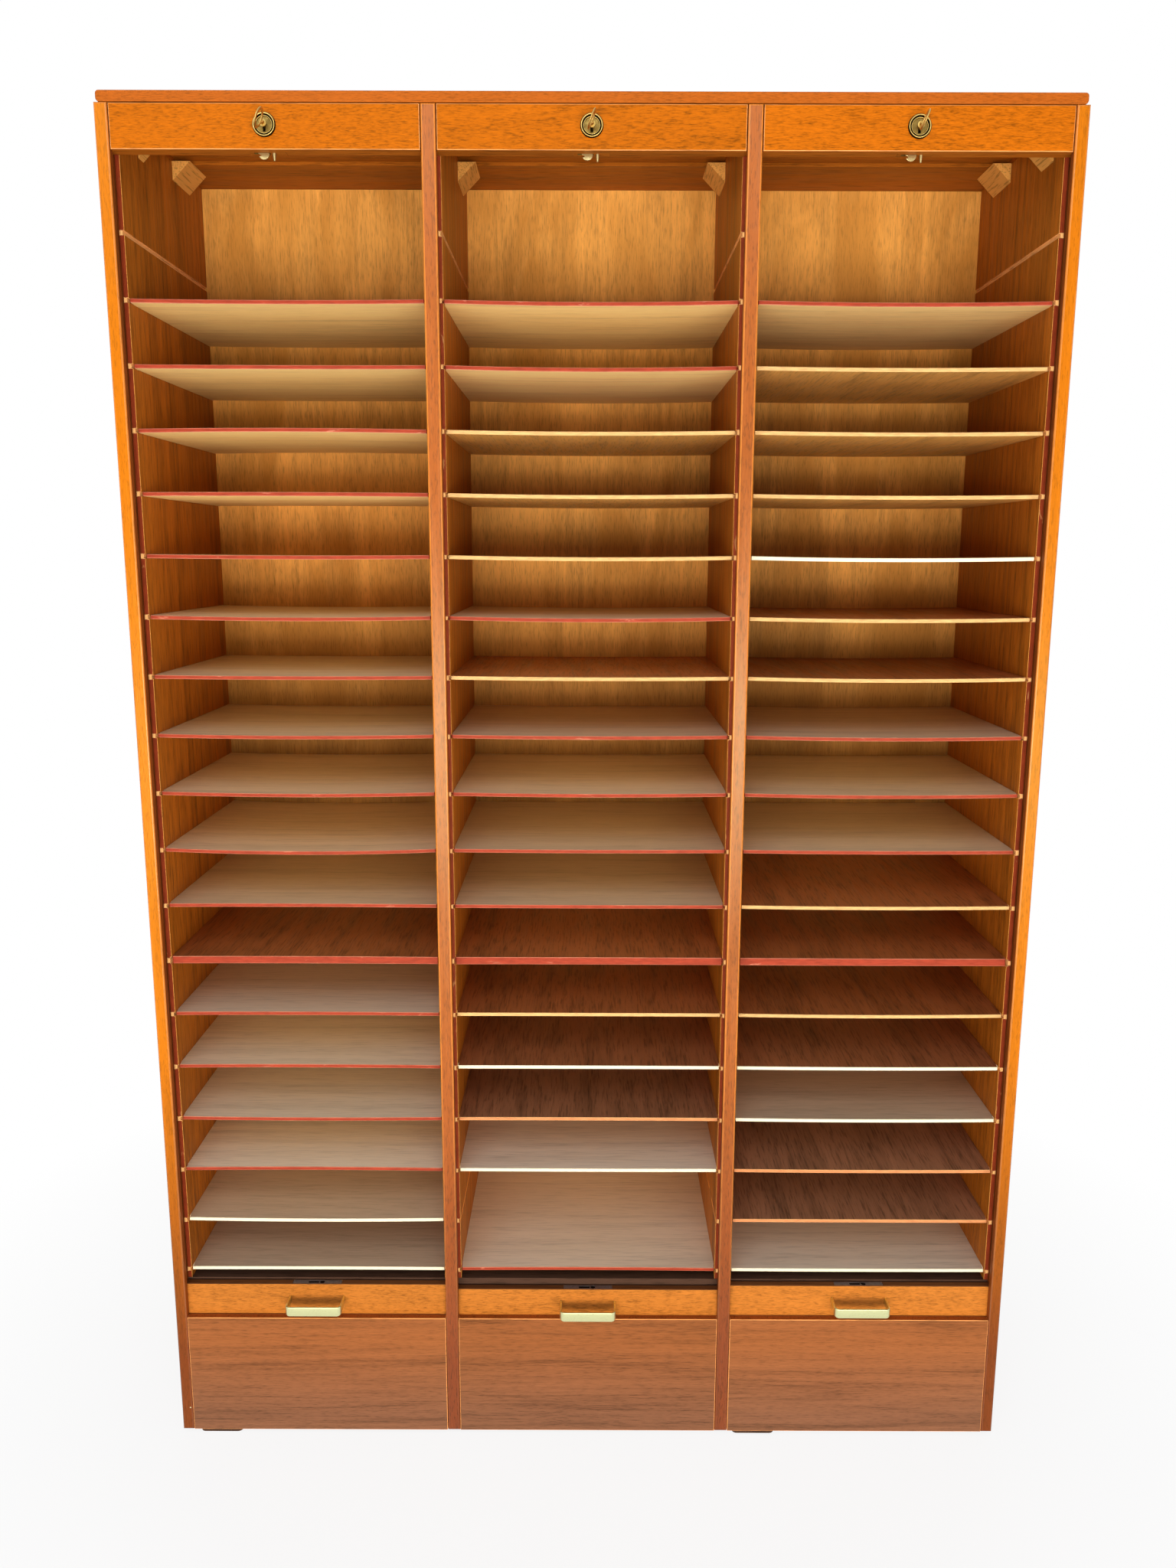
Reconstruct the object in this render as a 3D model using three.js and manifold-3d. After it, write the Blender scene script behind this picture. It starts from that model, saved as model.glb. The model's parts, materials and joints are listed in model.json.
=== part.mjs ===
// Roll-front filing cabinet: three columns of thin paper shelves behind slatted tambour fronts.
// Millimetres, +Z up, the front faces -Y and the floor is at z = 0.
// Each tambour rises from behind the fascia at the foot of its column to the locking rail at the top.
import * as THREE from 'three';
import { mergeVertices } from 'three/addons/utils/BufferGeometryUtils.js';
import Module from 'manifold-3d';

const solidLibrary = await Module();
solidLibrary.setup();
const { Manifold, Mesh: SolidMesh } = solidLibrary;

// Carcase
const cabinetWidth = 1200;
const carcaseHeight = 1824;
const cabinetDepth = 380;
const sideThickness = 16;
const partitionThickness = 18;
const topThickness = 13;
const topInset = 3;
const topCornerRadius = 4;
const baseThickness = 18;
const backThickness = 6;
const backRebateWidth = 8;
const columnNames = ['left', 'middle', 'right'];
const columnCount = columnNames.length;

// Clearances between pieces
const glueLine = 0.3;
const slidingGap = 0.8;
const overrun = 20;
const cornerSteps = 3;

// Feet
const footHeight = 5;
const footWidth = 62;
const footDepth = 46;
const footSetback = 2;
const footEdgeDistance = 25;
const frontRightFootStart = 215;
const footRadius = 7;

// Curtain track, routed between the front lip of each upright and the lining behind it
const lipDepth = 10.4;
const lipProud = 3.2;
const trackWidth = 12;
const trackCut = 3;
const bendRadius = 60;
const bendSteps = 8;
const bottomRunClearance = 6;
const rearRunClearance = 1.6;
const liningSetback = 1.6;

// Linings, decks and the inner backs that hide the stored curtains
const liningThickness = 6;
const deckThickness = 12;
const innerBackThickness = 5.5;
const innerBackClearance = 2.9;
const deckRise = 50;

// Shelves: kerfs count from the lowest to the highest, and the highest one of each column is empty
const shelfPitch = 79;
const shelfThickness = 5;
const fixedShelfThickness = 10.5;
const lowestShelfRise = 13;
const kerfHeadroom = 80;
const fixedShelfIndex = 6;
const missingShelves = { left: [], middle: [1], right: [] };
const kerfDepth = 2.3;
const kerfSlack = 0.3;
const shelfSetback = 1.2;
const shelfEdgeRadius = 1.2;

// Fascia and top rail of each column
const fasciaHeight = 184;
const fasciaThickness = 10;
const topRailHeight = 51.8;
const topRailThickness = 22;
const topRailSetback = 1;
const topRailGap = 0.8;
const topRailEndGap = 1.2;

// Lead rail, the stiff first bar of each curtain
const leadRailHeight = 48.5;
const leadRailThickness = 11.4;
const leadRailRadius = 1.6;
const leadRailSinks = { left: 0.5, middle: 7.5, right: 0.5 };
const closingGap = 0.4;

// Curtain: slats glued edge to edge on canvas
const slatPitch = 25;
const slatThickness = 8;
const slatCrown = 1.6;
const slatJointWidth = 0.5;
const canvasThickness = 1;
const crownPoints = 1;

// Handle, a flat strip bent to a U
const handleWidth = 81;
const handleHeight = 14;
const handleReach = 30;
const handleStrip = 3;
const handleBend = 7;
const handleDrop = 1;

// Lock in each top rail
const lockAxisRise = 27.4;
const lockCaseWidth = 44;
const lockCaseHeight = 38;
const lockCaseDepth = 12;
const lockNoseRadius = 9.2;
const lockNoseRecess = 0.4;
const keyChamberRadius = 8.2;
const keyChamberDepth = 6.5;
const lockWall = 2.5;
const roseRadius = 14;
const roseBore = 9.7;
const roseHeight = 3.2;
const roseLip = 1;
const roundSteps = 18;

// Hook bolt and guide pin below each lock
const hookOffset = -5.3;
const hookTipRadius = 6.75;
const hookReach = 7.2;
const hookPivotRise = 14;
const hookHeadRadius = 5.4;
const hookThickness = 3.5;
const hookPinRadius = 2;
const hookPinSlack = 0.35;
const hookSwing = 14;
const hookChamberSlack = 1;
const guidePinOffset = 7.2;
const guidePinRadius = 2.3;
const guidePinTipRadius = 1.2;
const guidePinReach = 8.5;

// Strike plate let into the top of each lead rail
const strikeLength = 71;
const strikeWidth = 8.4;
const strikeThickness = 1.2;
const strikeSlotSlack = 1;
const strikeSlotWidth = 5.5;
const strikeHoleRadius = 3.7;
const mortiseDepth = 10;
const mortiseNoseRoom = 4.6;

// Key left in each lock, its bow standing fore and aft and leaning a little to the right
const keyShaftRadius = 2.5;
const keyShaftSlack = 0.4;
const keyBowRadius = 10.4;
const keyBowTube = 2.1;
const bowSectionSteps = 8;
const keyBowDistance = 25;
const keyBowLean = 22;
const keyCollarRadius = 4.2;
const keyCollarLength = 2.5;
const keyCollarDistance = 8;
const keyBitRadius = 7.4;
const keyBitLength = 4.5;
const keyBitThickness = 2.6;

// Triangular glue blocks in the top corners of the columns
const glueBlockLeg = 25;
const glueBlockLength = 72;
const glueBlockBackDistance = 59;

// Levels and planes that follow from the sizes above
const underside = footHeight;
const baseTop = underside + baseThickness;
const topLevel = underside + carcaseHeight;
const ceiling = topLevel - topThickness;
const halfWidth = cabinetWidth / 2;
const uprightsTotal = 2 * sideThickness + (columnCount - 1) * partitionThickness;
const columnClear = (cabinetWidth - uprightsTotal) / columnCount;
const columnSpacing = columnClear + partitionThickness;
const fasciaTop = underside + fasciaHeight;
const topRailTop = ceiling - topRailGap;
const topRailBottom = topRailTop - topRailHeight;
const lockAxisLevel = topRailBottom + lockAxisRise;
const trackFront = lipDepth + trackWidth / 2;
const trackRear = cabinetDepth - backThickness - rearRunClearance - trackWidth / 2;
const trackBottom = baseTop + bottomRunClearance + trackWidth / 2;
const liningFront = lipDepth + trackWidth + liningSetback;
const innerBackRear = trackRear - trackWidth / 2 - innerBackClearance;
const innerBackFront = innerBackRear - innerBackThickness;
const deckTop = fasciaTop + deckRise;
const lowestShelfLevel = deckTop + lowestShelfRise;
const shelfRoom = topRailBottom - kerfHeadroom - lowestShelfLevel;
const kerfCount = Math.floor(shelfRoom / shelfPitch) + 1;
const slatCount = Math.ceil((topRailBottom - fasciaTop) / slatPitch);
const liningFace = liningThickness + glueLine - lipProud;
const topRailFace = topRailSetback;
const leadRailFront = trackFront - leadRailThickness / 2;
const keyReach = keyBowDistance + keyBowRadius + keyBowTube - topRailFace;
const originDepth = (cabinetDepth - keyReach) / 2;

// Column edges: the inner faces of the lips on the column's left and right
function columnLeft(column) {
  return -halfWidth + sideThickness + column * columnSpacing;
}

function columnRight(column) {
  return columnLeft(column) + columnClear;
}

function columnCentre(column) {
  return columnLeft(column) + columnClear / 2;
}

// Geometry helpers
function block([x0, x1], [y0, y1], [z0, z1]) {
  const geometry = new THREE.BoxGeometry(x1 - x0, y1 - y0, z1 - z0);
  return geometry.translate((x0 + x1) / 2, (y0 + y1) / 2, (z0 + z1) / 2);
}

function extrudeOutline(shape, length, curveSegments) {
  return new THREE.ExtrudeGeometry(shape, { depth: length, bevelEnabled: false, curveSegments });
}

// An outline in Y and Z, carried from x0 to x1
function extrudeAcross(shape, [x0, x1], curveSegments = cornerSteps) {
  const geometry = extrudeOutline(shape, x1 - x0, curveSegments);
  const turn = new THREE.Matrix4().makeBasis(
    new THREE.Vector3(0, 1, 0),
    new THREE.Vector3(0, 0, 1),
    new THREE.Vector3(1, 0, 0)
  );
  return geometry.applyMatrix4(turn).translate(x0, 0, 0);
}

// An outline in X and Z, carried from y0 to y1
function extrudeBack(shape, [y0, y1], curveSegments = cornerSteps) {
  const geometry = extrudeOutline(shape, y1 - y0, curveSegments);
  return geometry.rotateX(Math.PI / 2).translate(0, y1, 0);
}

// An outline in X and Y, carried from z0 to z1
function extrudeUp(shape, [z0, z1], curveSegments = cornerSteps) {
  return extrudeOutline(shape, z1 - z0, curveSegments).translate(0, 0, z0);
}

// A round bar along Y
function barAlongDepth(radius, [y0, y1]) {
  const geometry = new THREE.CylinderGeometry(radius, radius, y1 - y0, roundSteps);
  return geometry.translate(0, (y0 + y1) / 2, 0);
}

function outline(points) {
  return new THREE.Shape(points.map(([u, v]) => new THREE.Vector2(u, v)));
}

function roundedRectangle([u0, u1], [v0, v1], radius) {
  const quarter = Math.PI / 2;
  const shape = new THREE.Shape();
  shape.absarc(u1 - radius, v1 - radius, radius, 0, quarter);
  shape.absarc(u0 + radius, v1 - radius, radius, quarter, 2 * quarter);
  shape.absarc(u0 + radius, v0 + radius, radius, 2 * quarter, 3 * quarter);
  shape.absarc(u1 - radius, v0 + radius, radius, 3 * quarter, 4 * quarter);
  shape.closePath();
  return shape;
}

function solidOf(geometry) {
  const bare = geometry.clone();
  bare.deleteAttribute('normal');
  bare.deleteAttribute('uv');
  const merged = mergeVertices(bare, 1e-4);
  const vertProperties = new Float32Array(merged.attributes.position.array);
  const triVerts = new Uint32Array(merged.index.array);
  return new Manifold(new SolidMesh({ numProp: 3, vertProperties, triVerts }));
}

function geometryOf(solid) {
  const { vertProperties, triVerts } = solid.getMesh();
  const geometry = new THREE.BufferGeometry();
  geometry.setAttribute('position', new THREE.BufferAttribute(new Float32Array(vertProperties), 3));
  geometry.setIndex(new THREE.BufferAttribute(new Uint32Array(triVerts), 1));
  geometry.computeVertexNormals();
  return geometry;
}

function cut(geometry, ...tools) {
  let solid = solidOf(geometry);
  for (const tool of tools) solid = solid.subtract(solidOf(tool));
  return geometryOf(solid);
}

function join(geometry, ...others) {
  let solid = solidOf(geometry);
  for (const other of others) solid = solid.add(solidOf(other));
  return geometryOf(solid);
}

// Finishes, from the photograph
const finishes = {
  sapele: { color: 0xc76a1e, roughness: 0.42, metalness: 0 },
  mahogany: { color: 0x8f4a26, roughness: 0.45, metalness: 0 },
  lining: { color: 0x7a3a14, roughness: 0.5, metalness: 0 },
  birch: { color: 0xdcb98a, roughness: 0.6, metalness: 0 },
  plywood: { color: 0xb9752f, roughness: 0.6, metalness: 0 },
  canvasAndSlats: { color: 0xa85a22, roughness: 0.5, metalness: 0 },
  darkWood: { color: 0x3a2115, roughness: 0.6, metalness: 0 },
  brass: { color: 0x9c7a45, roughness: 0.35, metalness: 0.9 },
  steel: { color: 0x6d6862, roughness: 0.4, metalness: 0.9 },
  champagne: { color: 0xd8cfa0, roughness: 0.3, metalness: 0.85 }
};

const cabinet = new THREE.Group();
cabinet.position.y = -originDepth;

function addPiece(name, geometry, finish) {
  const piece = new THREE.Mesh(geometry, new THREE.MeshStandardMaterial(finishes[finish]));
  piece.name = name;
  cabinet.add(piece);
}

// The track that both ends of a curtain run in: down behind the lip, round under the deck and up at the back
function trackBand() {
  const half = trackWidth / 2;
  const outer = bendRadius + half;
  const inner = bendRadius - half;
  const frontBend = [trackFront + bendRadius, trackBottom + bendRadius];
  const rearBend = [trackRear - bendRadius, trackBottom + bendRadius];
  const top = ceiling + overrun;
  const band = new THREE.Shape();
  band.moveTo(trackFront - half, top);
  band.lineTo(trackFront - half, frontBend[1]);
  band.absarc(frontBend[0], frontBend[1], outer, Math.PI, 1.5 * Math.PI);
  band.absarc(rearBend[0], rearBend[1], outer, 1.5 * Math.PI, 2 * Math.PI);
  band.lineTo(trackRear + half, top);
  band.lineTo(trackRear - half, top);
  band.absarc(rearBend[0], rearBend[1], inner, 2 * Math.PI, 1.5 * Math.PI, true);
  band.absarc(frontBend[0], frontBend[1], inner, 1.5 * Math.PI, Math.PI, true);
  band.lineTo(trackFront + half, top);
  band.closePath();
  return band;
}

// Cuts that turn one face of an upright into a lip with the track behind it
function trackCuts(face, towardsColumn) {
  const core = face - towardsColumn * lipProud;
  const grooveFloor = core - towardsColumn * trackCut;
  const beyond = face + towardsColumn * overrun;
  const rebate = block(
    [Math.min(core, beyond), Math.max(core, beyond)],
    [lipDepth, cabinetDepth + overrun],
    [underside - overrun, ceiling + overrun]
  );
  const groove = extrudeAcross(
    trackBand(),
    [Math.min(grooveFloor, beyond), Math.max(grooveFloor, beyond)],
    bendSteps
  );
  return [rebate, groove];
}

function addSides() {
  for (const [name, side] of [['side_left', -1], ['side_right', 1]]) {
    const outerFace = side * halfWidth;
    const innerFace = side * (halfWidth - sideThickness);
    const board = block(
      [Math.min(outerFace, innerFace), Math.max(outerFace, innerFace)],
      [0, cabinetDepth],
      [underside, ceiling]
    );
    const rebateLimits = [side * (halfWidth - backRebateWidth), side * (halfWidth - backRebateWidth - overrun)];
    const backRebate = block(
      [Math.min(...rebateLimits), Math.max(...rebateLimits)],
      [cabinetDepth - backThickness - glueLine, cabinetDepth + overrun],
      [underside - overrun, ceiling + overrun]
    );
    addPiece(name, cut(board, ...trackCuts(innerFace, -side), backRebate), 'sapele');
  }
}

function addPartitions() {
  for (const [index, name] of ['partition_left', 'partition_right'].entries()) {
    const leftFace = columnRight(index);
    const rightFace = columnLeft(index + 1);
    const rear = cabinetDepth - backThickness - glueLine;
    const board = block([leftFace, rightFace], [0, rear], [underside, ceiling - glueLine]);
    const baseNotch = block(
      [leftFace - overrun, rightFace + overrun],
      [lipDepth - glueLine, rear + overrun],
      [underside - overrun, baseTop + glueLine]
    );
    const cuts = [...trackCuts(leftFace, -1), ...trackCuts(rightFace, 1), baseNotch];
    addPiece(name, cut(board, ...cuts), 'sapele');
  }
}

function addTopBoard() {
  const half = halfWidth - topInset;
  const front = roundedRectangle([-half, half], [ceiling + glueLine, topLevel], topCornerRadius);
  addPiece('top_board', extrudeBack(front, [0, cabinetDepth]), 'sapele');
}

function addBaseBoard() {
  const half = halfWidth - sideThickness + lipProud - glueLine;
  const board = block(
    [-half, half],
    [lipDepth, cabinetDepth - backThickness - glueLine],
    [underside, baseTop]
  );
  addPiece('base_board', board, 'mahogany');
}

function addBackSheet() {
  const half = halfWidth - backRebateWidth - glueLine;
  const sheet = block([-half, half], [cabinetDepth - backThickness, cabinetDepth], [underside, ceiling]);
  addPiece('back_sheet', sheet, 'plywood');
}

function addFeet() {
  const reach = halfWidth - footEdgeDistance;
  const corners = [
    ['foot_front_left', -reach, footSetback],
    ['foot_front_right', frontRightFootStart, footSetback],
    ['foot_rear_left', -reach, cabinetDepth - footSetback - footDepth],
    ['foot_rear_right', reach - footWidth, cabinetDepth - footSetback - footDepth]
  ];
  for (const [name, x, y] of corners) {
    const pad = roundedRectangle([x, x + footWidth], [y, y + footDepth], footRadius);
    addPiece(name, extrudeUp(pad, [0, underside - glueLine]), 'darkWood');
  }
}

// Fixed boards of one column
function addFascia(name, column) {
  const board = block(
    [columnLeft(column) + glueLine, columnRight(column) - glueLine],
    [0, fasciaThickness],
    [underside, fasciaTop]
  );
  addPiece(`fascia_${name}`, board, 'mahogany');
}

function addDeck(name, column) {
  const reach = lipProud - glueLine;
  const board = block(
    [columnLeft(column) - reach, columnRight(column) + reach],
    [liningFront, innerBackFront - glueLine],
    [deckTop - deckThickness, deckTop]
  );
  addPiece(`deck_${name}`, board, 'darkWood');
}

function addInnerBack(name, column) {
  const reach = lipProud - glueLine;
  const board = block(
    [columnLeft(column) - reach, columnRight(column) + reach],
    [innerBackFront, innerBackRear],
    [deckTop - deckThickness, ceiling - glueLine]
  );
  addPiece(`inner_back_${name}`, board, 'plywood');
}

// The rail over the opening: its ends reach behind the lips, and the lock sits in a pocket cut from behind
function addTopRail(name, column) {
  const left = columnLeft(column);
  const right = columnRight(column);
  const front = topRailFace;
  const rear = topRailFace + topRailThickness;
  const tongueFront = lipDepth + glueLine;
  const tongueRear = lipDepth + trackWidth - glueLine;
  const tongueReach = lipProud + trackCut - glueLine;
  const plan = outline([
    [left + topRailEndGap, front],
    [right - topRailEndGap, front],
    [right - topRailEndGap, tongueFront],
    [right + tongueReach, tongueFront],
    [right + tongueReach, tongueRear],
    [right - topRailEndGap, tongueRear],
    [right - topRailEndGap, rear],
    [left + topRailEndGap, rear],
    [left + topRailEndGap, tongueRear],
    [left - tongueReach, tongueRear],
    [left - tongueReach, tongueFront],
    [left + topRailEndGap, tongueFront]
  ]);
  const centre = columnCentre(column);
  const pocketHalf = lockCaseWidth / 2 + glueLine;
  const pocket = block(
    [centre - pocketHalf, centre + pocketHalf],
    [rear - lockCaseDepth - glueLine, rear + overrun],
    [topRailBottom - overrun, topRailBottom + lockCaseHeight + glueLine]
  );
  const noseBore = barAlongDepth(lockNoseRadius + glueLine, [front - overrun, rear]);
  noseBore.translate(centre, 0, lockAxisLevel);
  const rail = extrudeUp(plan, [topRailBottom, topRailTop]);
  addPiece(`top_rail_${name}`, cut(rail, pocket, noseBore), 'sapele');
}

// Shelf levels
function kerfLevel(kerf) {
  return lowestShelfLevel + kerf * shelfPitch;
}

function kerfThickness(kerf) {
  return kerf === fixedShelfIndex ? fixedShelfThickness : shelfThickness;
}

// Front outline of a lining with a kerf for each shelf, as points that run up its face
function kerfedEdge(face, floor, kerfs) {
  const points = [];
  for (const kerf of kerfs) {
    const level = kerfLevel(kerf);
    const half = kerfThickness(kerf) / 2 + kerfSlack;
    points.push([face, level - half], [floor, level - half], [floor, level + half], [face, level + half]);
  }
  return points;
}

// The right lining of a column: a kerf for every shelf, the free ends of the shelves lie in them
function addSlottedLining(name, column) {
  const back = columnRight(column) + lipProud - glueLine;
  const face = columnRight(column) - liningFace;
  const bottom = deckTop + glueLine;
  const top = ceiling - glueLine;
  const kerfs = [...Array(kerfCount).keys()];
  const front = outline([
    [back, top],
    [back, bottom],
    [face, bottom],
    ...kerfedEdge(face, face + kerfDepth, kerfs),
    [face, top]
  ]);
  const panel = extrudeBack(front, [liningFront, innerBackFront - glueLine]);
  addPiece(`lining_slotted_${name}`, panel, 'lining');
}

// The left lining of a column, with the thin shelves that sit in it
function addShelfLining(name, column) {
  const back = columnLeft(column) - lipProud + glueLine;
  const face = columnLeft(column) + liningFace;
  const shelfEnd = columnRight(column) - liningFace + kerfDepth - kerfSlack;
  const bottom = deckTop + glueLine;
  const top = ceiling - glueLine;
  const edge = [];
  for (let kerf = 0; kerf < kerfCount; kerf += 1) {
    const level = kerfLevel(kerf);
    if (kerf === fixedShelfIndex || kerf === kerfCount - 1 || missingShelves[name].includes(kerf)) {
      edge.push(...kerfedEdge(face, face - kerfDepth, [kerf]));
    } else {
      const half = shelfThickness / 2;
      edge.push([face, level - half], [shelfEnd, level - half], [shelfEnd, level + half], [face, level + half]);
    }
  }
  const front = outline([[back, top], [back, bottom], [face, bottom], ...edge, [face, top]]);
  const comb = extrudeBack(front, [liningFront, innerBackFront - glueLine]);
  const frontTrim = block(
    [face, shelfEnd + overrun],
    [liningFront - overrun, liningFront + shelfSetback],
    [bottom, top + overrun]
  );
  addPiece(`lining_shelved_${name}`, cut(comb, frontTrim), 'birch');
}

function addFixedShelf(name, column) {
  const reach = kerfDepth - kerfSlack - liningFace;
  const level = kerfLevel(fixedShelfIndex);
  const half = fixedShelfThickness / 2;
  const section = roundedRectangle(
    [liningFront, innerBackFront - glueLine],
    [level - half, level + half],
    shelfEdgeRadius
  );
  const board = extrudeAcross(section, [columnLeft(column) - reach, columnRight(column) + reach]);
  addPiece(`fixed_shelf_${name}`, board, 'mahogany');
}

// Lock in the top rail: a flat case behind the rail with a round nose through it
function lockChambers(rear) {
  const caseFront = rear - lockCaseDepth;
  const chamberFront = caseFront + lockWall;
  const keyChamber = barAlongDepth(keyChamberRadius, [chamberFront, chamberFront + keyChamberDepth]);
  keyChamber.translate(0, 0, lockAxisLevel);
  const keyBore = barAlongDepth(keyShaftRadius + keyShaftSlack, [-overrun, chamberFront + lockWall]);
  keyBore.translate(0, 0, lockAxisLevel);
  const slotHalf = keyBitThickness / 2 + keyShaftSlack;
  const keySlot = block(
    [-slotHalf, slotHalf],
    [-overrun, chamberFront + lockWall],
    [lockAxisLevel - keyBitRadius - keyShaftSlack, lockAxisLevel]
  );
  const swingRoom = (hookPivotRise + hookReach) * Math.sin(THREE.MathUtils.degToRad(hookSwing));
  const hookHalf = hookThickness / 2 + slidingGap;
  const hookChamber = block(
    [hookOffset - hookTipRadius - swingRoom, hookOffset + hookTipRadius + hookChamberSlack],
    [trackFront - hookHalf, trackFront + hookHalf],
    [topRailBottom - overrun, topRailBottom + hookPivotRise + hookHeadRadius + hookChamberSlack]
  );
  return [keyChamber, keyBore, keySlot, hookChamber];
}

function addLockCase(name, column) {
  const rear = topRailFace + topRailThickness;
  const caseFront = rear - lockCaseDepth;
  const half = lockCaseWidth / 2;
  const box = block([-half, half], [caseFront, rear], [topRailBottom, topRailBottom + lockCaseHeight]);
  const nose = barAlongDepth(lockNoseRadius, [topRailFace - lockNoseRecess, rear - lockWall]);
  nose.translate(0, 0, lockAxisLevel);
  const pivotPin = barAlongDepth(hookPinRadius, [caseFront + lockWall / 2, rear - lockWall / 2]);
  pivotPin.translate(hookOffset, 0, topRailBottom + hookPivotRise);
  const guidePin = new THREE.CylinderGeometry(guidePinRadius, guidePinTipRadius, guidePinReach, roundSteps);
  guidePin.rotateX(Math.PI / 2).translate(guidePinOffset, trackFront, topRailBottom - guidePinReach / 2);
  const pinStem = block(
    [guidePinOffset - guidePinRadius, guidePinOffset + guidePinRadius],
    [trackFront - guidePinRadius, trackFront + guidePinRadius],
    [topRailBottom, topRailBottom + lockWall]
  );
  const hollowCase = cut(join(box, nose), ...lockChambers(rear));
  const lockCase = join(hollowCase, pivotPin, guidePin, pinStem);
  addPiece(`lock_case_${name}`, lockCase.translate(columnCentre(column), 0, 0), 'steel');
}

function addLockRose(name, column) {
  const seat = topRailFace - glueLine;
  const face = seat - roseHeight;
  const ring = [
    [roseBore, seat],
    [roseBore, face + roseLip],
    [roseBore + roseLip, face],
    [roseRadius - 2 * roseLip, face],
    [roseRadius - roseLip / 2, face + roseLip],
    [roseRadius, seat - roseLip / 2],
    [roseRadius, seat],
    [roseBore, seat]
  ];
  const profile = ring.map(([radius, y]) => new THREE.Vector2(radius, y));
  const rose = new THREE.LatheGeometry(profile, roundSteps);
  rose.translate(columnCentre(column), 0, lockAxisLevel);
  addPiece(`lock_rose_${name}`, rose, 'brass');
}

function addKey(name, column) {
  const bowCentre = topRailFace - keyBowDistance;
  const chamberFront = topRailFace + topRailThickness - lockCaseDepth + lockWall;
  const bitFront = chamberFront + (keyChamberDepth - keyBitLength) / 2;
  const bow = new THREE.TorusGeometry(keyBowRadius, keyBowTube, bowSectionSteps, roundSteps);
  bow.rotateY(Math.PI / 2).translate(0, bowCentre, 0).rotateY(THREE.MathUtils.degToRad(keyBowLean));
  const shaft = barAlongDepth(keyShaftRadius, [bowCentre + keyBowRadius, bitFront + keyBitLength]);
  const collarFront = topRailFace - keyCollarDistance;
  const collar = barAlongDepth(keyCollarRadius, [collarFront, collarFront + keyCollarLength]);
  const bit = block(
    [-keyBitThickness / 2, keyBitThickness / 2],
    [bitFront, bitFront + keyBitLength],
    [-keyBitRadius, 0]
  );
  const key = join(bow, shaft, collar, bit);
  addPiece(`key_${name}`, key.translate(columnCentre(column), 0, lockAxisLevel), 'brass');
}

// The catch of the hook bolt: what the edge of the strike plate sweeps through while the hook swings
function catchNotch() {
  const swing = THREE.MathUtils.degToRad(hookSwing);
  const edge = -hookTipRadius - strikeSlotSlack + kerfSlack;
  const plateTop = -hookPivotRise - closingGap + kerfSlack;
  const plateBottom = -hookPivotRise - closingGap - strikeThickness - kerfSlack;
  const pivot = new THREE.Vector2(0, 0);
  const turned = (u, v) => new THREE.Vector2(u, v).rotateAround(pivot, swing);
  const lowerCorner = turned(edge, plateBottom);
  const farEnd = turned(edge - overrun, plateBottom);
  const radius = Math.hypot(edge, plateTop);
  const start = Math.atan2(plateTop, edge);
  const notch = new THREE.Shape();
  notch.moveTo(edge - overrun, plateTop);
  notch.lineTo(edge, plateTop);
  notch.absarc(0, 0, radius, start, start + swing);
  notch.lineTo(lowerCorner.x, lowerCorner.y);
  notch.lineTo(farEnd.x, farEnd.y);
  notch.closePath();
  return notch;
}

function addHookBolt(name, column) {
  const tipDrop = hookPivotRise + hookReach - hookTipRadius;
  const shape = new THREE.Shape();
  shape.absarc(0, 0, hookHeadRadius, 0, Math.PI);
  shape.absarc(0, -tipDrop, hookTipRadius, Math.PI, 2 * Math.PI);
  shape.closePath();
  const half = hookThickness / 2;
  const plate = extrudeBack(shape, [-half, half], roundSteps / 2);
  const pivotHole = barAlongDepth(hookPinRadius + hookPinSlack, [-overrun, overrun]);
  const notch = extrudeBack(catchNotch(), [-overrun, overrun]);
  const hook = cut(plate, pivotHole, notch);
  hook.translate(columnCentre(column) + hookOffset, trackFront, topRailBottom + hookPivotRise);
  addPiece(`hook_bolt_${name}`, hook, 'brass');
}

// Lead rail with its strike plate and handle
function leadRailBottom(name) {
  return fasciaTop - leadRailSinks[name];
}

function strikeOpenings([z0, z1]) {
  const slotLeft = hookOffset - hookTipRadius - strikeSlotSlack;
  const slotRight = hookOffset + hookTipRadius + strikeSlotSlack;
  const slotHalf = strikeSlotWidth / 2;
  const slot = block([slotLeft, slotRight], [trackFront - slotHalf, trackFront + slotHalf], [z0, z1]);
  const hole = new THREE.CylinderGeometry(strikeHoleRadius, strikeHoleRadius, z1 - z0, roundSteps);
  hole.rotateX(Math.PI / 2).translate(guidePinOffset, trackFront, (z0 + z1) / 2);
  return [slot, hole];
}

function addLeadRail(name, column) {
  const bottom = leadRailBottom(name);
  const top = bottom + leadRailHeight;
  const reach = lipProud + trackCut - slidingGap;
  const section = roundedRectangle(
    [leadRailFront, leadRailFront + leadRailThickness],
    [bottom, top],
    leadRailRadius
  );
  const bar = extrudeAcross(section, [columnLeft(column) - reach, columnRight(column) + reach]);
  const centre = columnCentre(column);
  const plateHalf = strikeLength / 2 + glueLine;
  const plateBed = block(
    [centre - plateHalf, centre + plateHalf],
    [trackFront - strikeWidth / 2 - glueLine, trackFront + strikeWidth / 2 + glueLine],
    [top - strikeThickness - glueLine, top + overrun]
  );
  const mortise = block(
    [hookOffset - hookTipRadius - mortiseNoseRoom, guidePinOffset + strikeHoleRadius],
    [trackFront - strikeSlotWidth / 2, trackFront + strikeSlotWidth / 2],
    [top - mortiseDepth, top + overrun]
  );
  mortise.translate(centre, 0, 0);
  const pinHole = strikeOpenings([top - mortiseDepth, top + overrun])[1].translate(centre, 0, 0);
  addPiece(`lead_rail_${name}`, cut(bar, plateBed, mortise, pinHole), 'sapele');
}

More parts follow.
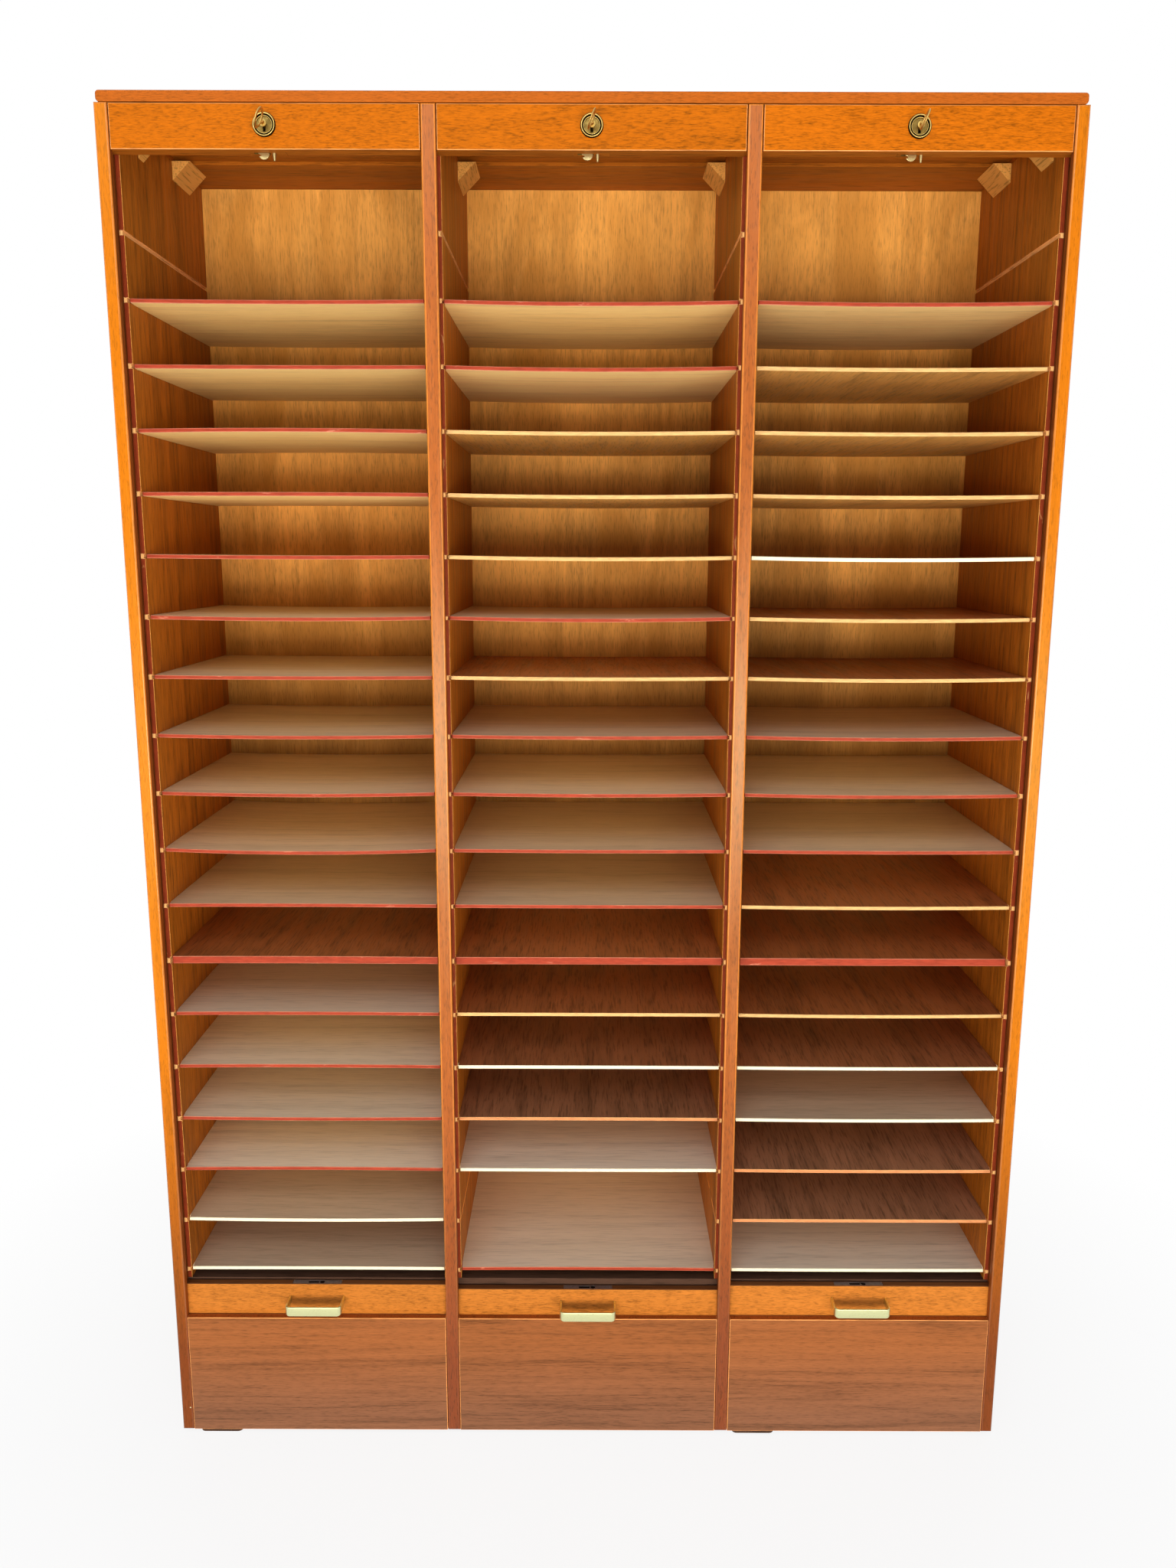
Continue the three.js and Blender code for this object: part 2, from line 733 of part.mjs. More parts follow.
function addStrikePlate(name, column) {
  const top = leadRailBottom(name) + leadRailHeight;
  const half = strikeLength / 2;
  const outlineShape = roundedRectangle(
    [-half, half],
    [trackFront - strikeWidth / 2, trackFront + strikeWidth / 2],
    leadRailRadius
  );
  const plate = extrudeUp(outlineShape, [top - strikeThickness, top]);
  const openings = strikeOpenings([top - strikeThickness - overrun, top + overrun]);
  addPiece(`strike_plate_${name}`, cut(plate, ...openings).translate(columnCentre(column), 0, 0), 'steel');
}

function handlePlan(inset) {
  const half = handleWidth / 2 - inset;
  const radius = handleBend - inset;
  const front = leadRailFront - handleReach + inset;
  const seat = leadRailFront - glueLine;
  const plan = new THREE.Path();
  plan.moveTo(half, seat);
  plan.lineTo(half, front + radius);
  plan.absarc(half - radius, front + radius, radius, 2 * Math.PI, 1.5 * Math.PI, true);
  plan.absarc(radius - half, front + radius, radius, 1.5 * Math.PI, Math.PI, true);
  plan.lineTo(-half, seat);
  return plan.getPoints(2 * cornerSteps);
}

function addHandle(name, column) {
  const strip = new THREE.Shape([...handlePlan(0), ...handlePlan(handleStrip).reverse()]);
  const middle = leadRailBottom(name) + leadRailHeight / 2 - handleDrop;
  const handle = extrudeUp(strip, [middle - handleHeight / 2, middle + handleHeight / 2]);
  addPiece(`handle_${name}`, handle.translate(columnCentre(column), 0, 0), 'champagne');
}

// Route of the canvas, measured from the foot of the lead rail: down, round, along, round and up
function canvasRoute(start) {
  const canvasOffset = slatThickness / 2;
  const front = trackFront + canvasOffset;
  const rear = trackRear - canvasOffset;
  const bottom = trackBottom + canvasOffset;
  const radius = bendRadius - canvasOffset;
  const bendLevel = bottom + radius;
  const quarter = (Math.PI / 2) * radius;
  const down = start - bendLevel;
  const along = rear - front - 2 * radius;
  return (distance) => {
    let left = distance;
    if (left <= down) return { y: front, z: start - left, angle: 0 };
    left -= down;
    if (left <= quarter) {
      const angle = left / radius;
      return bendPoint(front + radius, bendLevel, radius, angle);
    }
    left -= quarter;
    if (left <= along) return { y: front + radius + left, z: bottom, angle: Math.PI / 2 };
    left -= along;
    if (left <= quarter) {
      const angle = Math.PI / 2 + left / radius;
      return bendPoint(rear - radius, bendLevel, radius, angle);
    }
    left -= quarter;
    return { y: rear, z: bendLevel + left, angle: Math.PI };
  };
}

// A point on a bend; angle 0 faces the front, a quarter turn faces the floor, a half turn the back
function bendPoint(centreY, centreZ, radius, angle) {
  return { y: centreY - radius * Math.cos(angle), z: centreZ - radius * Math.sin(angle), angle };
}

// Outer outline of one slat on the straight line between two points of the canvas
function slatOutline(from, to) {
  const length = Math.hypot(to.y - from.y, to.z - from.z);
  const along = [(to.y - from.y) / length, (to.z - from.z) / length];
  const outward = [along[1], -along[0]];
  const place = (u, v) => [from.y + along[0] * u + outward[0] * v, from.z + along[1] * u + outward[1] * v];
  const root = canvasThickness / 2;
  const shoulder = root + slatThickness - slatCrown;
  const points = [place(slatJointWidth, root)];
  for (let step = 0; step <= crownPoints + 1; step += 1) {
    const share = step / (crownPoints + 1);
    const rise = slatCrown * Math.sin(Math.PI * share);
    points.push(place(slatJointWidth + share * (length - 2 * slatJointWidth), shoulder + rise));
  }
  points.push(place(length - slatJointWidth, root));
  return points;
}

function addCurtain(name, column) {
  const route = canvasRoute(leadRailBottom(name) - glueLine);
  const ends = [...Array(slatCount + 1).keys()].map((slat) => route(slat * slatPitch));
  const outer = ends.slice(1).flatMap((end, slat) => slatOutline(ends[slat], end));
  const half = canvasThickness / 2;
  const onStraightRun = (end) => end > 0 && end < slatCount && ends[end - 1].angle === ends[end + 1].angle;
  const inner = ends
    .filter((_, end) => !onStraightRun(end))
    .map(({ y, z, angle }) => [y + half * Math.cos(angle), z + half * Math.sin(angle)]);
  const section = outline([...outer, ...inner.reverse()]);
  const reach = lipProud + trackCut - slidingGap;
  const curtain = extrudeAcross(section, [columnLeft(column) - reach, columnRight(column) + reach]);
  addPiece(`curtain_${name}`, curtain, 'canvasAndSlats');
}

// Glue blocks: one in each outer top corner of the outer columns, two in the middle column
function addGlueBlock(name, corner, towardsColumn) {
  const face = corner + towardsColumn * (liningFace + glueLine);
  const top = ceiling - glueLine;
  const section = outline([
    [face, top],
    [face + towardsColumn * glueBlockLeg, top],
    [face, top - glueBlockLeg]
  ]);
  const end = innerBackFront - glueBlockBackDistance;
  addPiece(`glue_block_${name}`, extrudeBack(section, [end - glueBlockLength, end]), 'birch');
}

function addGlueBlocks() {
  const last = columnCount - 1;
  addGlueBlock('left', columnLeft(0), 1);
  addGlueBlock('middle_left', columnLeft(1), 1);
  addGlueBlock('middle_right', columnRight(1), -1);
  addGlueBlock('right', columnRight(last), -1);
}

function addColumn(name, column) {
  addFascia(name, column);
  addDeck(name, column);
  addInnerBack(name, column);
  addTopRail(name, column);
  addShelfLining(name, column);
  addSlottedLining(name, column);
  addFixedShelf(name, column);
  addLockCase(name, column);
  addLockRose(name, column);
  addKey(name, column);
  addHookBolt(name, column);
  addLeadRail(name, column);
  addStrikePlate(name, column);
  addHandle(name, column);
  addCurtain(name, column);
}

addTopBoard();
addBaseBoard();
addSides();
addPartitions();
addBackSheet();
addFeet();
columnNames.forEach((name, column) => addColumn(name, column));
addGlueBlocks();

export default cabinet;
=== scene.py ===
"""Dresses the packed roll-front filing cabinet: shelves, linings, slatted curtains, locks and finishes."""

import json
from math import cos, pi, radians, sin, tau

import bmesh
import bpy
import numpy as np
from bpy.props import FloatProperty, FloatVectorProperty, IntProperty, PointerProperty
from bpy.types import Operator, Panel, PropertyGroup
from mathutils import Matrix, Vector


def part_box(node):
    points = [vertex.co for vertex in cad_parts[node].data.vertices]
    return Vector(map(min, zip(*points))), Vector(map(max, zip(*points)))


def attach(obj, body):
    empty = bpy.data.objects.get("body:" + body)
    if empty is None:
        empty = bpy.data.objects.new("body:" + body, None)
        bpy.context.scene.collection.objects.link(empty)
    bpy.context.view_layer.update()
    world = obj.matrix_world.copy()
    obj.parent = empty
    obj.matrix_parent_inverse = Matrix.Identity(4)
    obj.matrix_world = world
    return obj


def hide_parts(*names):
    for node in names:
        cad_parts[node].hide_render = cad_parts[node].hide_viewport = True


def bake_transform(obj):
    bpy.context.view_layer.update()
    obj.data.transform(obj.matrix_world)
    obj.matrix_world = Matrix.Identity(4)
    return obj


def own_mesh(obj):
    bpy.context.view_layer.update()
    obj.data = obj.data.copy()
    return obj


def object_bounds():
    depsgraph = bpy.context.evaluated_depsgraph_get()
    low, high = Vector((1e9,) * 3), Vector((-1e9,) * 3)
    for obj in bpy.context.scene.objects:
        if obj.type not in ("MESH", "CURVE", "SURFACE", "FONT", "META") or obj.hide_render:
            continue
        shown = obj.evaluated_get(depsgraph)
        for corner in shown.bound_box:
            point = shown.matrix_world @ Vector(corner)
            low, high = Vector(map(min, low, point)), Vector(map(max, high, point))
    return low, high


bl_info = {
    "name": "Roll-front filing cabinet",
    "version": (1, 0, 0),
    "blender": (4, 5, 0),
    "location": "View3D > Sidebar > Cabinet",
    "description": "Builds a tall cabinet with paper shelves and slatted curtains around its packed solids",
    "category": "Object",
}

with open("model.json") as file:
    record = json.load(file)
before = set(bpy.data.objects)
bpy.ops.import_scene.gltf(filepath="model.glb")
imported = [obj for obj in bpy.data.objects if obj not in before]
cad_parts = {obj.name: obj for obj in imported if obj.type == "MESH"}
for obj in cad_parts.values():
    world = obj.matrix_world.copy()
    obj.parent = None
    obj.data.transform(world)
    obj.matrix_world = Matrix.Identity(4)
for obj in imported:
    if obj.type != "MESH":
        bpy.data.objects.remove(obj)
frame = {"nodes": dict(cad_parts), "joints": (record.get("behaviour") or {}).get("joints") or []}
CAD_BOX = [list(corner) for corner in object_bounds()]
COLUMNS = ("left", "middle", "right")
CASE = "case"
SHIFT = "board_shift"
TONE = "board_tone"
MM = 0.001
HAIR = 0.0001  # room between faces, and what a place may be off and still count as the same
JOINED = 2e-6  # corners of a solid's triangles that are closer than this are one
# Under the first angle a solid's faces are one, over the second an edge is eased
FLAT, SHARP = radians(0.5), radians(50)
ALONG = 0.9  # a face looks along an axis where its normal's part on it is greater
FIXED_KERF = 6  # kerf of the thick fixed shelf, counted from the lowest
FINISHES = {}
# Front glue blocks: their side, where they begin and end behind the front, and their legs in millimetres
FRONT_BLOCKS = {"left": (-1, 90, 108, 36), "right": (1, 60, 101, 46)}

# Shelves of each column from the top down: a letter for the front edge and one for the faces.
# Edges: r red paint, t tan wood, c cream paint, n brown wood. Faces: b pale birch, m mahogany, g greyish tan.
SHELF_KINDS = {
    "left": "rb rb rb rb rb rb rb rb rb rb rb rm rb rb rb rb cg cg".split(),
    "middle": "rb rb tm tm tm rb tm rb rb rb rb rm tm cm nm cb -- rb".split(),
    "right": "rb tm tm tm cm tm tm rb rb rb tm rm tm cm cg nm nm cb".split(),
}
# How far the middle of each shelf's front stands above its ends, in millimetres, from the top down
SHELF_BOWS = {
    "left": (-1.4, -0.5, 1.8, 0.6, -1.1, -2.4, -1.1, -2.3, -2.8,
             -4.2, 0.6, 0.6, 0.7, 1.0, -1.4, 1.2, -1.8, 0.4),
    "middle": (-2.6, -2.6, -1.9, -2.0, -2.2, -2.6, -1.4, -1.6, -1.8,
               -0.8, -0.3, 0.3, 0.2, 0.2, 0.3, -0.4, 0, 1.0),
    "right": (-2.4, -1.6, -1.7, -1.7, -2.2, -2.3, -2.4, -2.4, -2.4,
              -1.2, -1.4, -0.3, -1.6, -0.9, -1.3, -1.0, -0.1, -0.4),
}
# Outline of a lock rose from its hole outwards: shares of its width and of its height from its face to its
# seat, and whether the stretch that begins there takes the dark brass, as the hollow with its tarnish and the
# outer flank do
ROSE_OUTLINE = (
    (0, 1, 0), (0, 0.7, 0), (0.06, 0.45, 0), (0.16, 0.42, 1), (0.24, 0.62, 1), (0.3, 0.9, 1), (0.4, 0.9, 1),
    (0.47, 0.5, 1), (0.55, 0.15, 0), (0.66, 0, 0), (0.8, 0.02, 1), (0.92, 0.22, 1), (1, 0.55, 1), (1, 1, 1),
)


def colour(name, display, description):
    """A colour property from its display values, 0 to 255."""
    values = tuple(channel / 255 for channel in display)
    return FloatVectorProperty(
        name=name, description=description, subtype="COLOR_GAMMA", size=3, min=0, max=1, default=values
    )


def length(name, millimetres, description):
    """A length property from millimetres."""
    return FloatProperty(name=name, description=description, unit="LENGTH", min=0, default=millimetres * MM)


def angle(name, degrees, description):
    """An angle property from degrees."""
    return FloatProperty(name=name, description=description, subtype="ANGLE", default=radians(degrees))


def number(name, default, description, least=0.0):
    """A property without a unit."""
    return FloatProperty(name=name, description=description, default=default, min=least)


def count(name, default, description, most):
    """A whole number."""
    return IntProperty(name=name, description=description, default=default, min=2, max=most)


class BoardSizes(PropertyGroup):
    """Sizes of boards, linings and shelves."""

    arris: length("Arris", 0.9, "Width of the eased edges of rails and fascias")
    lip_arris: length("Lip arris", 2.1, "Width of the rounded front edges of sides and partitions")
    lip_depth: length("Lip depth", 10.4, "How far the front lips reach back")
    shelf_pitch: length("Shelf pitch", 79, "Distance between kerfs")
    shelf_thickness: length("Shelf thickness", 5, "Thickness of a thin shelf")
    shelf_round: length("Shelf edge", 0.9, "Radius of a shelf's front edges")
    shelf_setback: length("Shelf setback", 2.4, "How far shelves stand behind the linings' front")
    shelf_notch: length("Shelf notch", 9, "How far a shelf's ends stand further back in their kerfs")
    kerf_depth: length("Kerf depth", 2.3, "Depth of the kerfs in the linings")
    kerf_slack: length("Kerf slack", 0.3, "Room above and below a shelf in its kerf")
    kerf_count: count("Kerfs", 19, "Kerfs in each lining", 40)
    lining_arris: length("Lining arris", 0.4, "Worn inner edge of the linings")
    ceiling_start: length("Ceiling panel start", 240, "Where the ceiling panel begins behind the front")
    ceiling_thickness: length("Ceiling panel thickness", 5, "Thickness of the ceiling panels")


class CurtainSizes(PropertyGroup):
    """Sizes of the slatted curtains."""

    slat_pitch: length("Slat pitch", 25, "Height of one slat")
    slat_count: count("Slats", 63, "Slats in a curtain", 200)
    slat_thickness: length("Slat thickness", 8, "Thickness of a slat")
    slat_crown: length("Slat crown", 1.8, "How far a slat bulges")
    canvas: length("Canvas", 1, "Thickness of the canvas behind the slats")
    bend_radius: length("Bend radius", 56, "Radius of the two bends under the deck")


class MetalSizes(PropertyGroup):
    """Sizes of handles, locks and keys."""

    handle_width: length("Handle width", 81, "Width of a strip handle")
    handle_height: length("Handle height", 14, "Height of the bent strip")
    handle_strip: length("Handle strip", 3, "Thickness of the bent strip")
    handle_round: length("Handle arris", 0.9, "Radius of the strip's arrises")
    handle_bend: length("Handle bend", 7, "Outer radius of the bends")
    handle_corner: length("Handle corner", 2.6, "How far the strip's lower edge rises round the bends")
    rose_radius: length("Rose radius", 14, "Outer radius of a lock rose")
    rose_height: length("Rose height", 3.2, "How far a rose stands proud")
    disc_radius: length("Disc radius", 9.3, "Radius of the recessed disc")
    bow_radius: length("Bow radius", 10.4, "Radius of the middle of the key's ring")
    bow_wire: length("Bow wire", 1.9, "Half the thickness of the key's ring")
    key_reach: length("Key reach", 24.8, "From the rail's face to the middle of the ring")
    shaft_radius: length("Shaft radius", 2.4, "Radius of the key's shaft")
    collar_radius: length("Collar radius", 4.2, "Radius of the collar on the key's shaft")
    key_lean: angle("Key lean", 22, "How far the rings lean")


class WoodColours(PropertyGroup):
    """Colours of woods and paints."""

    rail: colour("Rail", (178, 91, 6), "Varnished top rails")
    top_edge: colour("Top edge", (169, 84, 22), "Front edge of the top board")
    side_lip: colour("Side lip", (194, 104, 3), "Front edges of the sides")
    lip: colour("Partition lip", (156, 77, 20), "Front edges of the partitions")
    # Lighter than the partition lips: a painted highlight on the rounded arrises
    lip_edge: colour("Lip arris", (199, 113, 35), "Rounded edges of the lips")
    # Lighter than the rails: partly wear, partly a painted highlight on the eased arrises
    worn: colour("Worn arris", (229, 154, 89), "Rubbed edges of rails and fascias")
    # The lips' colour near the floor, darker: painted shade
    lip_foot: colour("Lip foot", (117, 49, 18), "The same wood near the floor")
    inside_lip: colour("Inside of lips", (144, 71, 25), "Faces of the lips beside the columns")
    veneer: colour("Veneer", (185, 101, 35), "Outer faces of the sides and the top")
    ceiling: colour("Ceiling", (164, 90, 22), "Underside of the top board")
    fascia: colour("Fascia", (139, 81, 42), "Boards at the foot of the columns")
    # Greyer than the fascias above: a painted reflection of the floor
    fascia_foot: colour("Fascia foot", (121, 79, 55), "Their dusty lower part")
    lead: colour("Lead rail", (183, 109, 41), "First bar of each curtain")
    lining: colour("Lining", (171, 96, 25), "Column linings")
    lining_edge: colour("Lining edge", (133, 49, 23), "Painted front edges of the linings")
    raw: colour("Raw wood", (240, 180, 112), "Bare wood in kerfs and on worn edges")
    plywood: colour("Plywood", (230, 164, 76), "Inner backs")
    birch: colour("Birch", (213, 190, 162), "Upper faces of pale shelves")
    # Brighter and warmer than the tops: painted light from below
    clean_birch: colour("Clean birch", (255, 216, 142), "Undersides of pale shelves")
    # Paler and greyer than the upper tops: painted light from above
    low_birch: colour("Low birch", (236, 220, 198), "Upper faces of the lowest pale shelves")
    grey_birch: colour("Grey birch", (206, 182, 154), "Faces of the greyish shelves")
    dark_shelf: colour("Dark shelf", (164, 96, 53), "Faces of mahogany shelves")
    # Greyer than the upper mahogany tops
    dusty_shelf: colour("Dusty shelf", (162, 113, 82), "Faces of the lowest mahogany shelves")
    # Much paler than the mahogany tops: painted light from below
    clean_mahogany: colour("Clean mahogany", (217, 160, 83), "Undersides of mahogany shelves")
    red_paint: colour("Red paint", (156, 56, 36), "Red front edges")
    cream_paint: colour("Cream paint", (240, 230, 196), "Cream front edges")
    tan_edge: colour("Tan edge", (214, 170, 110), "Bare front edges")
    brown_edge: colour("Brown edge", (207, 134, 85), "Bare brown front edges")
    slats: colour("Slats", (189, 102, 32), "Curtain slats")
    canvas: colour("Canvas", (164, 147, 113), "Cloth behind the slats")
    dark: colour("Dark wood", (73, 50, 39), "Decks, packers and the inside of the track")
    block: colour("Glue block", (218, 155, 76), "Glue blocks")


class MetalColours(PropertyGroup):
    """Colours of metals."""

    brass: colour("Brass", (232, 198, 116), "Rims of the lock roses")
    # Also on the outer flanks of the roses, which are darker
    groove: colour("Tarnished brass", (40, 29, 12), "Grooves of the lock roses")
    bronze: colour("Bronze", (152, 124, 64), "Lock discs")
    bright: colour("Bright brass", (210, 186, 128), "Hooks and pins")
    key: colour("Key brass", (208, 172, 94), "Keys")
    champagne: colour("Champagne", (224, 224, 170), "Handles")
    steel: colour("Steel", (139, 124, 122), "Strike plates")


class StageLook(PropertyGroup):
    """Camera and lamps."""

    lens: number("Lens", 27.51, "Focal length in mm", 10)
    distance: length("Camera distance", 1739.4, "From the middle of the cabinet to the camera")
    height: length("Camera height", 1282.8, "Camera above the floor")
    offset: length("Camera offset", 1, "Camera to the left")
    pitch: angle("Pitch", 10.84, "Camera tilt")
    yaw: angle("Yaw", 0.04, "Camera turn")
    roll: angle("Roll", 0.18, "Camera roll")
    low_lamp: number("Low lamp", 86, "Power of the lamp in front in W")
    ground_lamp: number("Ground lamp", 16, "Power of the lamp near the floor in W")
    level_lamp: number("Level lamp", 34, "Power of the lamp below eye level in W")
    under_lamp: number("Under lamp", 38, "Power of the low lamp without glare in W")
    high_lamp: number("High lamp", 27, "Power of the high soft lamp in W")
    sky: number("Sky", 0.38, "Strength of the room's light")


# Shapes
def corners(node):
    """Lowest and highest corner of a CAD node as arrays."""
    low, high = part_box(node)
    return np.array(low), np.array(high)


FRONT = corners("fascia_left")[0][1]


def rounded_section(low, high, radius, steps=3):
    """Outline of a rectangle from low to high with quarter circles of a radius at its corners."""
    (u0, v0), (u1, v1) = np.add(low, radius), np.subtract(high, radius)
    turns = np.linspace(0, pi / 2, steps + 1)
    arcs = [
        np.stack([u + radius * np.cos(turns + k * pi / 2), v + radius * np.sin(turns + k * pi / 2)], 1)
        for k, (u, v) in enumerate(((u1, v1), (u0, v1), (u0, v0), (u1, v0)))
    ]
    return np.concatenate(arcs)


def lay_section(section, origins, across, up):
    """Grid of points: at each station, origin plus the section's two parts along the two directions there."""
    return origins[:, None] + section[None, :, :1] * across[:, None] + section[None, :, 1:] * up[:, None]


def carried(section, origins, across=(0, 1, 0), up=(0, 0, 1)):
    """Grid of a section whose two directions stay the same, depth and height unless others are given."""
    ones = np.ones((len(origins), 1))
    return lay_section(section, origins, ones * across, ones * up)


def grid_mesh(name, grid, ring=False, finish=0, cap_finish=(0, 0), smooth=False):
    """Closed mesh through a grid of stations and places: each four neighbours are joined by a face, the
    places close on themselves, and the first and last station get a flat cap, or are joined where the
    stations form a ring. The UV map holds the distance along the stations and round the section."""
    rows, places = grid.shape[:2]
    index = np.arange(rows * places).reshape(rows, places)
    ahead = np.roll(index, -1, 1)
    spans = rows if ring else rows - 1
    upper, upper_ahead = (np.roll(part, -1, 0)[:spans] for part in (index, ahead))
    quads = np.stack([index[:spans], ahead[:spans], upper_ahead, upper], -1).reshape(-1, 4)
    caps = [] if ring else [index[0, ::-1], index[-1]]
    points = grid.reshape(-1, 3)
    a, b, c, d = (points[quads[:, k]] for k in range(4))
    volume = (np.cross(a, b) * c + np.cross(a, c) * d).sum()
    for cap in caps:
        fan = points[cap]
        volume += (np.cross(fan[0], fan[1:-1]) * fan[2:]).sum()
    inside_out = volume < 0
    if inside_out:
        quads = quads[:, ::-1]
        caps = [cap[::-1] for cap in caps]
    mesh = bpy.data.meshes.new(name)
    mesh.vertices.add(len(points))
    mesh.vertices.foreach_set("co", points.ravel().astype(np.float32))
    mesh.loops.add(quads.size + len(caps) * places)
    mesh.loops.foreach_set("vertex_index", np.concatenate([quads.ravel(), *caps]).astype(np.int32))
    mesh.polygons.add(len(quads) + len(caps))
    finishes = np.broadcast_to(np.asarray(finish), (spans, places)).ravel()
    for setting, on_quads, on_caps in (
        ("loop_start", np.arange(len(quads)) * 4, quads.size + np.arange(len(caps)) * places),
        ("loop_total", np.full(len(quads), 4), np.full(len(caps), places)),
        ("material_index", finishes, cap_finish[: len(caps)]),
        ("use_smooth", np.full(len(quads), smooth), np.full(len(caps), False)),
    ):
        values = np.concatenate([on_quads, on_caps])
        mesh.polygons.foreach_set(setting, values if setting == "use_smooth" else values.astype(np.int32))
    add_distances(mesh, grid, spans, len(caps), inside_out)
    mesh.update(calc_edges=True)
    mesh.validate()
    return mesh


def add_distances(mesh, grid, spans, caps, turned_round):
    """UV map of a grid mesh: distance along the stations, and round the section from its first place."""
    places = grid.shape[1]
    along, around = (
        np.concatenate([[0], np.cumsum(np.linalg.norm(np.roll(line, -1, 0) - line, axis=1))])
        for line in (grid[:, 0], grid[0])
    )
    row, place = (k.ravel() for k in np.mgrid[:spans, :places])
    corner = [(row, place), (row, place + 1), (row + 1, place + 1), (row + 1, place)]
    uv = np.stack([np.stack([along[r], around[p]], -1) for r, p in corner], 1)
    if turned_round:
        uv = uv[:, ::-1]
    layer = mesh.uv_layers.new(name="distance")
    uv = np.concatenate([uv.reshape(-1, 2), np.ones((places * caps, 2))])
    layer.data.foreach_set("uv", uv.ravel().astype(np.float32))


def board_mesh(name, section, x0, x1, **options):
    """An outline of depth and height carried along X."""
    return grid_mesh(name, carried(section, np.array([[x0, 0, 0], [x1, 0, 0]])), **options)


def turned_mesh(name, profile, centre, steps=56, **options):
    """A turned piece: a closed profile of radius and depth, swept in a full circle about a line along Y."""
    angles = np.arange(steps) / steps * tau
    across = np.stack([np.sin(angles), np.zeros(steps), np.cos(angles)], 1)
    up = np.tile([0.0, 1.0, 0.0], (steps, 1))
    grid = lay_section(np.array(profile), np.tile(centre, (steps, 1)), across, up)
    return grid_mesh(name, grid, ring=True, **options)


def eased_mesh(node, name, width, where=lambda middle: True, segments=2):
    """A merged copy of a CAD node's mesh, with those sharp edges eased whose middle a test picks."""
    work = bmesh.new()
    work.from_mesh(frame["nodes"][node].data)
    bmesh.ops.remove_doubles(work, verts=work.verts, dist=JOINED)
    bmesh.ops.dissolve_limit(work, angle_limit=FLAT, verts=work.verts, edges=work.edges)
    if width > 0:
        chosen = [
            edge for edge in work.edges
            if len(edge.link_faces) == 2 and edge.calc_face_angle() > SHARP
            and where((edge.verts[0].co + edge.verts[1].co) / 2)
        ]
        bmesh.ops.bevel(work, geom=chosen, offset=width, segments=segments, profile=0.5, affect="EDGES",
                        material=1, clamp_overlap=True)
    mesh = bpy.data.meshes.new(name)
    work.to_mesh(mesh)
    work.free()
    return mesh


def choose_finishes(mesh, chooser):
    """Gives each face the finish that a function of its middle and its normal names; eased edges stay."""
    for face in mesh.polygons:
        if face.material_index != 1:
            face.material_index = chooser(face.center, face.normal)


def eased_piece(node, name, width, chooser, finishes, slot, body=CASE, **options):
    """A piece that takes the place of one CAD node: its copy, eased, with a finish for each kind of face."""
    mesh = eased_mesh(node, name, width, **options)
    choose_finishes(mesh, chooser)
    add_piece(mesh, finishes, body, [node])


def seed_of(name):
    """A number from a piece's name, the same in each run."""
    return sum(ord(letter) * (place + 3) for place, letter in enumerate(name))


def add_piece(mesh, finishes, body, replaces=()):
    """Makes a mesh an object with its finishes and its own stretch of grain, and ties it to a body."""
    piece = bpy.data.objects.new(mesh.name, mesh)
    bpy.context.scene.collection.objects.link(piece)
    for finish in finishes:
        mesh.materials.append(FINISHES[finish])
    mark_board(mesh)
    if body is not None:
        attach(piece, body)
    if replaces:
        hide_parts(*replaces)
    return piece


def mark_board(mesh):
    """Stores a shift of the grain and a tone on a mesh, so that no two boards look alike."""
    draws = np.random.default_rng(seed_of(mesh.name)).uniform(-1, 1, 4)
    points = len(mesh.vertices)
    shift = mesh.attributes.new(SHIFT, "FLOAT_VECTOR", "POINT")
    shift.data.foreach_set("vector", np.tile(draws[:3] * 3, points).astype(np.float32))
    tones = mesh.attributes.new(TONE, "FLOAT", "POINT")
    tones.data.foreach_set("value", np.full(points, 0.25 * draws[3], np.float32))


def dress_node(node, finish):
    """A better material on a CAD node that stays."""
    piece = frame["nodes"][node]
    piece.data.materials.clear()
    piece.data.materials.append(FINISHES[finish])


# Materials
def linear(display):
    """Linear light values of a colour given in display values, 0 to 1."""
    values = np.array(display)
    return tuple(np.where(values <= 0.04045, values / 12.92, ((values + 0.055) / 1.055) ** 2.4))


def shaded(values, factor):
    """A colour made darker or lighter by a factor."""
    return tuple(min(channel * factor, 1) for channel in values)


